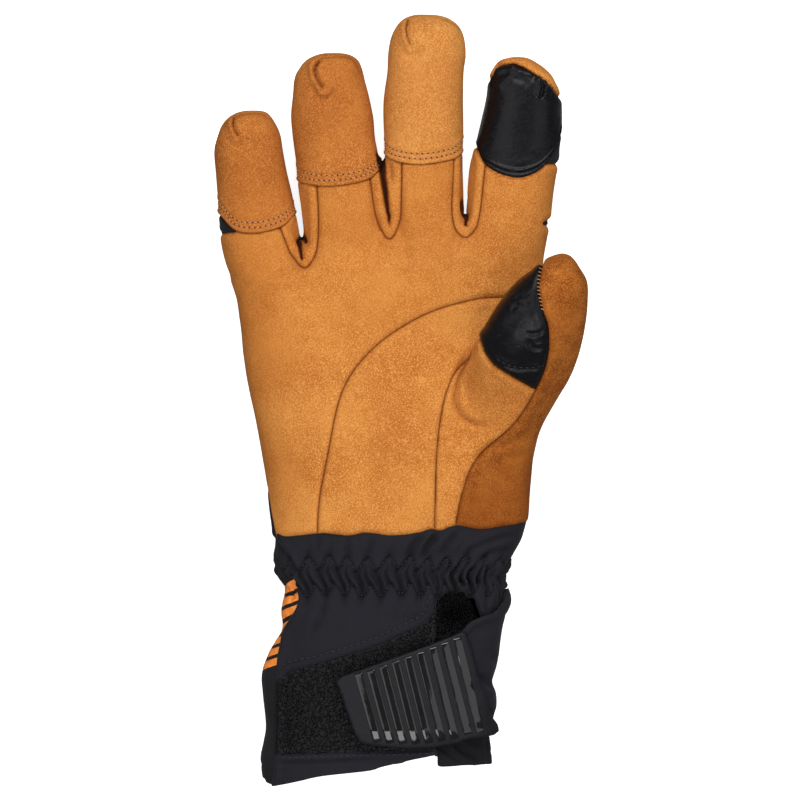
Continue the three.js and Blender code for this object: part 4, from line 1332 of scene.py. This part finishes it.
def ring_tubes(centres, normals, radius, turn, lean, thread, steps=6, sides=4):
    count = len(centres)
    across = np.cross(normals, np.column_stack([np.cos(turn), np.sin(turn), np.zeros(count)]))
    across /= np.linalg.norm(across, axis=1, keepdims=True)
    side = np.cross(across, normals)
    up = normals * np.cos(lean)[:, None] + side * np.sin(lean)[:, None]
    angle = np.linspace(0, np.pi, steps)
    section = np.linspace(0, 2 * np.pi, sides, endpoint=False)
    outward = across[:, None] * np.cos(angle)[None, :, None] + up[:, None] * np.sin(angle)[None, :, None]
    aside = np.cross(across, up)
    centre_line = centres[:, None] + outward * radius[:, None, None]
    ring = (outward[:, :, None] * np.cos(section)[None, None, :, None]
            + aside[:, None, None] * np.sin(section)[None, None, :, None])
    points = (centre_line[:, :, None] + ring * thread[:, None, None, None]).reshape(-1, 3)
    quad = np.array(ring_faces(steps, sides)[:-2])
    faces = (quad + (np.arange(count) * steps * sides)[:, None, None]).reshape(-1, 4)
    return points, faces


def surface_tree(skin):
    return BVHTree.FromPolygons(skin.points.tolist(), skin.triangles.tolist())


def straight_down(tree, x, y, height=90):
    return tree.ray_cast(Vector((x, y, height)), Vector((0, 0, -1)))[:2]


def drop_on(tree, spots):
    hits = [straight_down(tree, x, y) for x, y in spots]
    found = np.array([(*place, *normal) for place, normal in hits if place is not None])
    found[:, 3:] *= np.where(found[:, 5:] < 0, -1, 1)
    return found


front_tree = surface_tree(shaped["cuff_front"])
grid_x, grid_y = np.meshgrid(np.arange(-47, 36, LOOP_STEP), np.arange(-132, -70, LOOP_STEP * 0.87))
grid_x = grid_x + (np.arange(len(grid_x)) % 2)[:, None] * LOOP_STEP / 2
spots = np.column_stack([grid_x.ravel(), grid_y.ravel()]) + rng.normal(0, 0.24, (grid_x.size, 2))
on_field, in_mouth = inside(spots, LOOP_OUTLINE) > 0.75, inside(spots, MOUTH_OUTLINE) > 0
rooted = np.vstack([drop_on(front_tree, spots[on_field]),
                    drop_on(surface_tree(shaped["cuff_gusset"]), spots[in_mouth])])
facing, count = rooted[:, 3:], len(rooted)
base_skin = cut(Skin(shaped["cuff_front"].data, front.triangles), in_loop - 0.35)[0]
base_points = base_skin.points + base_skin.normals * 0.3
shaped["loop_base"] = new_skin(base_points, base_skin.triangles, base_skin.normals)
loop_base = object_from("loop_base", base_points, base_skin.triangles, pile_black,
                        wall=PILE_BASE, lining=pile_black)
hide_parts("loop_field")
loop_points, loop_faces = ring_tubes(
    rooted[:, :3] + facing * 0.25, facing, rng.uniform(0.5, 0.95, count), rng.uniform(0, 2 * np.pi, count),
    rng.uniform(-0.9, 0.9, count), rng.uniform(0.13, 0.19, count))
object_from("loop_pile", loop_points, loop_faces, pile_black)
print("loops:", count)


# %% [markdown]
# ## The strap
# A two-ply softshell strap comes round the thumb side of the wrist and crosses the palm side. Its upper
# edge stands off the cuff and makes a mouth. It creases where it turns round the side.

# %% Shape the strap
STRAP = [
    (-64, -60, 39.2, -8, 30.6), (-68, -60, 39.9, -8, 31), (-71.5, -60, 40.5, -8, 31.4),
    (-75, -60, 40.4, -8, 31.6), (-78.5, -60, 39.2, -7.5, 31.5), (-83, -60, 37.9, -7, 31.2),
    (-88, -60, 37, -7, 31), (-94.2, -60, 36.2, -6.8, 30.9), (-98.6, -60, 35.4, -6.8, 30.8),
    (-103.8, -60, 33.9, -6.8, 30.7), (-108.2, -60, 35.2, -6.8, 30.5), (-112.7, -60, 35.4, -6.8, 30.3),
    (-118.6, -60, 34.2, -6.8, 30.1), (-124, -60, 35.6, -6.8, 29.9), (-132, -60, 35.6, -6.8, 29.5),
    (-140, -60, 35, -6.8, 29),
]
STRAP_OUTLINE = [(12, -90.5), (22.8, -84.6), (25.9, -81.4), (30.2, -79.6), (34.6, -78.3), (37.6, -76.8),
                 (39.4, -74.2), (40, -71), (40.2, -68.5), (60, -66.5), (60, -119), (37, -121.5),
                 (34, -123.2), (20, -124.5), (12, -126)]
TAB_OUTLINE = [(-24, -103.9), (-23.4, -102.4), (-21.6, -101.2), (-14.2, -98.6), (-2.8, -94.4), (6.3, -91.2),
               (16.1, -87.4), (22.2, -84.9), (23.6, -85), (24.1, -86.4), (27.9, -99), (31, -110.8),
               (34.2, -120.8), (34.4, -122.8), (33, -123.7), (28.7, -124.4), (23.7, -125), (19.8, -127),
               (12.4, -128.2), (4.6, -128.7), (-6.5, -128), (-13.6, -127), (-15.4, -126.1), (-17.2, -123.6),
               (-20.5, -114)]
STRAP_STEP, STRAP_AROUND, STRAP_WALL = 0.8, 300, 1.9
STRAP_HALF_WIDTH, STRAP_HALF_HEIGHT = 48, 19
strap_tube = tube(STRAP, STRAP_STEP, STRAP_AROUND, STRAP_HALF_WIDTH, STRAP_HALF_HEIGHT)


def strap_piece(outline, limit):
    return cut(strap_tube, np.minimum(inside(strap_tube.points, outline), limit))[0]


strap_skin = strap_piece(STRAP_OUTLINE, above_side(strap_tube.points) - 0.6)
STRAP_FOLDS = [
    dict(line=[(30, -92), (33.5, -95), (36.5, -98)], depth=0.7, width=1.5),
    dict(line=[(28.5, -101), (32, -104.5), (36, -106)], depth=1.1, width=1.7),
    dict(line=[(31, -114), (34, -116.5), (37, -119.5)], depth=0.9, width=1.5),
    dict(line=[(26, -86), (30, -85), (35, -84)], depth=0.35, width=1.8),
]
strap_gap = inside(strap_skin.points, STRAP_OUTLINE)
strap_rise = fold_height(strap_skin.points, strap_skin.normals, STRAP_FOLDS)
strap_rise += 0.3 * soft_noise(strap_skin.points, 11, 31)
strap_rise += 0.5 * bell(strap_gap - 1.2, 1.2) - 0.35 * bell(strap_gap, 0.6)
strap_rise -= 0.25 * bell(strap_gap - 2.9, 0.5)
shape("strap", strap_skin, strap_rise, {}, shell_black, STRAP_WALL, shell_black)
print("strap:", len(strap_skin.triangles), "triangles")


# %% [markdown]
# ## The rubber tab
# The real tab is moulded in one with its ribs. Here the ribs are polished bars set into its face, so that
# they can have a finish of their own. The tab's rim is rounded: its height follows a quarter circle over
# the last millimetre. A hook patch below holds it on the pile.

# %% Shape the tab, its ribs and the hook patch
TAB_THICKNESS, TAB_RIM = 1.1, 1.1
TAB_FLOOR = 12
RIB_WIDTH = 3.0
BEND_LINE = -121.6
TAB_TOP = np.array(TAB_OUTLINE[3:8])
TAB_LOW = np.array(TAB_OUTLINE[15:24][::-1])
RIBS = []
for top_x, low_x in zip(np.linspace(-15.8, 20.6, 9), np.linspace(-8.6, 29.6, 9)):
    top_y, low_y = np.interp(top_x, *TAB_TOP.T) - 1.5, np.interp(low_x, *TAB_LOW.T) + 1.9
    RIBS.append((np.array((top_x, top_y)), np.array((low_x, low_y))))


def tab_base(points):
    height = 1.1 + 0.22 * soft_noise(points, 12, 41) * smooth_step(points[:, 0], 0, 20)
    height += 0.5 * spot(points, (32, -122), 5) - 0.7 * bell(points[:, 0] + 24, 9)
    beyond = BEND_LINE - points[:, 1]
    height -= 0.33 * (np.sqrt(beyond ** 2 + 0.1) + beyond) / 2 * smooth_step(26 - points[:, 0], 0, 8)
    ripple = np.sin(points[:, 1] * 0.42 + points[:, 0] * 0.1) * smooth_step(points[:, 0], 4, 20)
    return height + 0.3 * ripple


tab_skin = strap_piece(TAB_OUTLINE, strap_tube.points[:, 2] - TAB_FLOOR)
rim = np.sqrt(1 - (1 - np.clip(inside(tab_skin.points, TAB_OUTLINE) / TAB_RIM, 0, 1)) ** 2)
tab_rise = tab_base(tab_skin.points) + TAB_THICKNESS * rim
shape("strap_tab", tab_skin, tab_rise, {}, tab_rubber, TAB_THICKNESS, tab_rubber)

tab_tree = surface_tree(shaped["strap_tab"])
RIB_PROFILE = ((-1, -0.5), (-1, 0.1), (-0.97, 0.22), (-0.9, 0.27), (-0.4, 0.285), (0.4, 0.285), (0.9, 0.27),
               (0.97, 0.22), (1, 0.1), (1, -0.5))


def rib_bar(top, low, base, steps=46):
    along_bar = (low - top) / np.hypot(*(low - top))
    across = np.array((-along_bar[1], along_bar[0])) * RIB_WIDTH / 2
    stations = np.linspace(0, 1, steps)
    seats = []
    for share in stations:
        middle_point = top + (low - top) * share
        hits = [straight_down(tab_tree, *(middle_point + across * wide))[0] for wide in (-0.9, 0, 0.9)]
        seats.append([hit.z if hit else np.nan for hit in hits])
    seats = np.array(seats)
    for k in range(3):
        found = ~np.isnan(seats[:, k])
        column = np.interp(stations, stations[found], seats[found, k])
        seats[:, k] = np.convolve(np.pad(column, 1, mode="edge"), np.ones(3) / 3, mode="valid")
    points = []
    for share, heights in zip(stations, seats):
        rounded = min(1, share * steps / 2, (1 - share) * steps / 2) ** 0.5
        for wide, lift in RIB_PROFILE:
            seat = np.interp(wide, (-1, 0, 1), heights)
            place = top + (low - top) * share + across * wide
            points.append((*place, seat + (lift * rounded if lift > 0 else lift)))
    return points, ring_faces(steps, len(RIB_PROFILE), base)


rib_points, rib_faces = [], []
for top, low in RIBS:
    new_points, new_faces = rib_bar(top, low, len(rib_points))
    rib_points += new_points
    rib_faces += new_faces
object_from("tab_ribs", rib_points, rib_faces, rib_rubber)

HOOK_WALL = 0.7
HOOK_OUTLINE = [(-19, -105), (10, -93), (12, -125), (-10, -125)]
hook_skin = strap_piece(HOOK_OUTLINE, strap_tube.points[:, 2] - TAB_FLOOR)
shape("hook_pad", hook_skin, np.full(len(hook_skin.data), -0.2), {}, pile_black, HOOK_WALL, pile_black)
print("tab and", len(RIBS), "ribs")


# %% [markdown]
# ## Stitches
# A stitch is a short piece of thread that dives into the leather at both ends. Rows are found as level
# lines: the points of a panel where some distance has one value, put in order round the finger or along a
# seam.

# %% Lines on a surface, and thread along them
def level_points(skin, value):
    edges = edges_of(skin.triangles)
    a, b = edges[value[edges[:, 0]] * value[edges[:, 1]] < 0].T
    t = (value[a] / (value[a] - value[b]))[:, None]
    return skin.data[a] + (skin.data[b] - skin.data[a]) * t


def resample(line, pitch):
    gaps = np.linalg.norm(np.diff(line[:, :3], axis=0), axis=1)
    line, gaps = line[np.append(True, gaps > 0.02)], gaps[gaps > 0.02]
    walked = np.append(0, np.cumsum(gaps))
    count = max(int(walked[-1] / pitch), 1)
    at = np.linspace(0, walked[-1], count + 1)
    return np.column_stack([np.interp(at, walked, line[:, k]) for k in range(line.shape[1])])


def turned_mesh(name, spools, finish, sides, smooth=True):
    points, faces = [], []
    turn = 2 * np.pi * np.arange(sides)[:, None] / sides
    for rings in spools:
        faces += ring_faces(len(rings), sides, len(points))
        for centre, radius, side, other in rings:
            points += list(centre + radius * (np.cos(turn) * side + np.sin(turn) * other))
    object_from(name, points, faces, finish, smooth=smooth)


# Each row is how far along, how thick, how high
STITCH = ((-0.5, 0.3, -0.9), (-0.4, 0.85, 0.0), (-0.15, 1, 0.45),
          (0.15, 1, 0.45), (0.4, 0.85, 0.0), (0.5, 0.3, -0.9))
# Each row is how high, how wide
HOLE = ((-0.35, 1.0), (0.07, 1.0), (0.11, 0.6))
SHORTEST, LONGEST = 0.3, 6


def thread_mesh(name, rows, finish, radius=0.3, fill=0.74):
    spools = []
    for first, last in (pair for row in rows for pair in zip(row[:-1], row[1:])):
        middle_point, step = (first[:3] + last[:3]) / 2, last[:3] - first[:3]
        normal = first[3:6] + last[3:6]
        normal = normal / np.linalg.norm(normal)
        length = np.linalg.norm(step)
        if SHORTEST <= length <= LONGEST:
            side = np.cross(normal, step / length)
            spools.append([(middle_point + step * at * fill + normal * lift * radius,
                            radius * thick, side, normal) for at, thick, lift in STITCH])
    turned_mesh(name, spools, finish, 6)


# Each hole is a small plug coloured as painted shade.
def hole_mesh(name, rows, finish, radius=0.36):
    spools = []
    for place in np.vstack(rows):
        normal = place[3:6] / np.linalg.norm(place[3:6])
        side = np.cross(normal, (0.3, 0.9, 0.2))
        side /= np.linalg.norm(side)
        other = np.cross(normal, side)
        spools.append([(place[:3] + normal * height, radius * wide, side, other) for height, wide in HOLE])
    turned_mesh(name, spools, finish, 8, smooth=False)


print("thread can be laid")


# %% [markdown]
# ## Two rows round each fingertip cap
# The rows lie 2 and 3.9 mm in from the cap's edge, and the stitches of one row stand beside the gaps of the
# other.

# %% Stitch the caps
CAP_PITCH = 2.0
BREAK = 1.6
cap_rows = []
for name in ("little", "ring", "middle"):
    skin = shaped[f"cap_{name}"]
    centre = (skin.points.max(axis=0) + skin.points.min(axis=0)) / 2
    inward = above(skin.points, CAP_EDGES[name])
    rim = border_points(skin)
    side_rim = skin.points[rim[inward[rim] > 1.5]]
    for number, distance in enumerate(CAP_ROWS):
        found = level_points(skin, inward - distance)
        order = np.argsort(np.arctan2(found[:, 2] - centre[2], found[:, 0] - centre[0]))
        ring_line = np.vstack([found[order], found[order[:1]]])
        if len(side_rim):
            ring_line = ring_line[distance_to(ring_line[:, :3], side_rim) > BREAK]
        jumps = np.flatnonzero(np.linalg.norm(np.diff(ring_line[:, :3], axis=0), axis=1) > BREAK) + 1
        runs = [resample(run, CAP_PITCH) for run in np.split(ring_line, jumps) if len(run) >= 8]
        cap_rows += [(run[:-1] + run[1:]) / 2 if number else run for run in runs]
thread_mesh("cap_stitches", cap_rows, tan_thread)
hole_mesh("cap_needle_holes", cap_rows, hole_shade)
print("cap stitches:", sum(len(row) - 1 for row in cap_rows))


# %% [markdown]
# ## Overcast stitches on the thumb
# Near its tip the thumb's touch patch is held by short slanting stitches over the seam, and a plain row
# crosses the patch above its lower edge.

# %% Stitch the thumb
OVERCAST_STEP, PATCH_PITCH = 1.35, 2.0
PATCH_ROW = [(34.8, 15.6), (40, 12.9), (47, 12.2), (53, 13.2)]


def joined(*names):
    skins = [shaped[name] for name in names]
    starts = np.cumsum([0] + [len(skin.data) for skin in skins[:-1]])
    triangles = np.vstack([skin.triangles + start for skin, start in zip(skins, starts)])
    return Skin(np.vstack([skin.data for skin in skins]), triangles)


def seated(tree, path, spacing):
    return drop_on(tree, resample(np.column_stack([path, np.zeros(len(path))]), spacing)[:, :2])


thumb_tree = surface_tree(joined("thumb_touch_patch", "thumb_back", "thumb_front"))
split = curve(THUMB_SPLIT)
overcast = []
for y in np.arange(33.5, 51, OVERCAST_STEP):
    x = np.interp(-y, -split[:, 1], split[:, 0])
    overcast.append(drop_on(thumb_tree, [(x - 0.75, y + 0.2), (x + 0.6, y - 0.2)]))
thread_mesh("thumb_overcast", overcast, tan_thread, 0.17, 0.95)
patch_row = resample(seated(thumb_tree, curve(PATCH_ROW), 0.5), PATCH_PITCH)
thread_mesh("patch_stitches", [patch_row], black_thread, 0.22, 0.7)
print("thumb stitches:", len(overcast))


# %% [markdown]
# ## Zigzag thread over the elastic, and the rows round the pile
# The zigzag runs right round the wrist. It is laid out on the unrolled cuff, where its shape is simple. The
# pile is sewn down with one plain row above it and another below it.

# %% Stitch the cuff
ZIGZAG_PITCH, BORDER_PITCH = 1.75, 2.4
CUFF_PANELS = ("cuff_front", "cuff_back", "cuff_gusset")
cuff_places = np.concatenate([shaped[name].data for name in CUFF_PANELS])
unrolled = np.concatenate([panels[name].data[:, [6, 1]] for name in CUFF_PANELS])
unrolled_tree = tree_of(np.column_stack([unrolled, np.zeros(len(unrolled))]))


def on_cuff(s, y):
    near = unrolled_tree.find_n((s, y, 0), 3)
    weight = np.array([1 / (distance + 0.02) for _, _, distance in near])
    return (cuff_places[[k for _, k, _ in near]] * weight[:, None]).sum(axis=0) / weight.sum()


s_line = np.arange(-112, 112, 0.45)
zigzags = []
for line in zigzag_rows(s_line)[:2]:
    zigzags.append(resample(np.array([on_cuff(s, y) for s, y in zip(s_line, line)]), ZIGZAG_PITCH))
thread_mesh("elastic_zigzag", zigzags, black_thread, 0.24, 0.7)

loop_edge = curve(LOOP_OUTLINE[:10], 8)
turned = np.gradient(loop_edge, axis=0)
turned = np.column_stack([-turned[:, 1], turned[:, 0]]) / np.hypot(*turned.T)[:, None]
border = []
for path in (loop_edge + turned * 2.6, np.array(LOOP_OUTLINE[11:]) + (0, -0.9)):
    border.append(resample(seated(front_tree, path, 0.6), BORDER_PITCH))
thread_mesh("pile_border_stitches", border, black_thread, 0.24, 0.72)
print("cuff stitches:", sum(len(row) - 1 for row in zigzags + border))


# %% [markdown]
# ## What each piece is cut from
# Every fabric and leather panel was a flat cut before it was sewn. Its width and length are those of the
# rectangle that the cut needs, a little more than the panel measures now, and its area is that of the shaped
# panel. Each row also says how the piece is held and lists other parts of the glove by name; the script only
# prints the sizes and areas.

FITTED = "stretched"
SHEETS = {
    "palm_panel": ((0.130, 0.145), FITTED, ["back_panel", "thenar_panel"]),
    "thenar_panel": ((0.086, 0.090), FITTED, ["palm_panel", "thumb_front"]),
    "thumb_front": ((0.040, 0.072), FITTED, ["thumb_back", "thenar_panel"]),
    "thumb_back": ((0.075, 0.105), FITTED, ["thumb_front", "back_panel"]),
    "thumb_touch_patch": ((0.050, 0.056), FITTED, ["thumb_back", "thumb_front"]),
    "back_panel": ((0.150, 0.155), FITTED, ["palm_panel", "thumb_back"]),
    "fourchette_little_ring": ((0.024, 0.037), FITTED, ["palm_panel", "back_panel"]),
    "fourchette_ring_middle": ((0.021, 0.035), FITTED, ["palm_panel", "back_panel"]),
    "fourchette_middle_index": ((0.030, 0.036), FITTED, ["palm_panel", "back_panel"]),
    "cap_little": ((0.085, 0.048), FITTED, ["palm_panel", "back_panel"]),
    "cap_ring": ((0.098, 0.052), FITTED, ["palm_panel", "back_panel"]),
    "cap_middle": ((0.098, 0.058), FITTED, ["palm_panel", "back_panel"]),
    "cap_index_front": ((0.044, 0.045), FITTED, ["palm_panel", "cap_index_back"]),
    "cap_index_back": ((0.056, 0.048), FITTED, ["back_panel", "cap_index_front"]),
    "cuff_front": ((0.098, 0.100), "gathered", ["palm_panel", "cuff_back"]),
    "cuff_back": ((0.130, 0.100), "gathered", ["back_panel", "cuff_front"]),
    "cuff_gusset": ((0.034, 0.067), "gathered", ["cuff_front", "cuff_back"]),
    "strap": ((0.046, 0.060), "laid", ["cuff_gusset", "cuff_front"]),
    "hook_pad": ((0.032, 0.034), "laid", ["strap_tab", "loop_field"]),
    "loop_base": ((0.064, 0.060), "laid", ["cuff_front"]),
}


for name, ((width, length), held, neighbours) in SHEETS.items():
    a, b, c = (shaped[name].points[shaped[name].triangles[:, k]] * MM for k in range(3))
    area = float(np.linalg.norm(np.cross(b - a, c - a), axis=1).sum() / 2)
    print(name, "flat", width, "x", length, "m, area", round(area, 5), "m2")


# %% [markdown]
# ## Stage, light and camera
# The glove lies on a pale floor under large soft lights, with the strongest beyond the fingertips as in the
# photograph. The camera looks straight down through a long lens, so that the outline is nearly free of
# perspective.

# %% Stage, light and camera
FLOOR = 2500
corners = [(-FLOOR, -FLOOR, 0), (FLOOR, -FLOOR, 0), (FLOOR, FLOOR, 0), (-FLOOR, FLOOR, 0)]
floor = make_object("floor", corners, [(0, 1, 2, 3)])
floor_finish = Finish("pale_floor", Roughness=0.9, Specular_IOR_Level=0.1, Emission_Strength=0.8)
floor_finish.surface.inputs["Base Color"].default_value = shade(238, 238, 238)
floor_finish.surface.inputs["Emission Color"].default_value = shade(255, 255, 255)
floor.data.materials.append(floor_finish.material)
floor.visible_diffuse = False
floor.visible_glossy = False


def softbox(name, place, aim, energy, size):
    light = bpy.data.lights.new(name, "AREA")
    light.energy = energy
    light.size = size
    made = bpy.data.objects.new(name, light)
    bpy.context.collection.objects.link(made)
    made.location = place
    made.rotation_euler = (Vector(aim) - Vector(place)).to_track_quat("-Z", "Y").to_euler()


# Each row is the name, the place, the point it looks at, the power and the size
SOFTBOXES = [
    ("key_softbox", (0.2, 1.0, 1.05), (0, 0, 0), 12.3, 0.8),
    ("side_softbox", (0.9, -0.3, 1.1), (0, 0, 0), 5, 1.2),
    ("top_softbox", (-0.75, 0.1, 1.4), (0, 0, 0), 9, 1.4),
    ("low_strip", (0, -0.85, 1.0), (0, -0.12, 0), 4, 0.5),
]
for row in SOFTBOXES:
    softbox(*row)
world = bpy.data.worlds.new("room")
bpy.context.scene.world = world
world.use_nodes = True
world.node_tree.nodes["Background"].inputs["Color"].default_value = (1, 1, 1, 1)
world.node_tree.nodes["Background"].inputs["Strength"].default_value = 0.24
bpy.context.scene.view_settings.view_transform = "Standard"

MM_PER_PIXEL = 0.37
SENSOR = 36
CAMERA_HEIGHT = 3.02
DISTANCE_SEEN, WIDTH_SEEN = 3000, 296
camera_data = bpy.data.cameras.new("camera")
camera = bpy.data.objects.new("camera", camera_data)
bpy.context.collection.objects.link(camera)
camera.location = (-MM_PER_PIXEL * MM, MM_PER_PIXEL * MM, CAMERA_HEIGHT)
camera_data.sensor_width = SENSOR
camera_data.lens = SENSOR * DISTANCE_SEEN / WIDTH_SEEN
bpy.context.scene.camera = camera
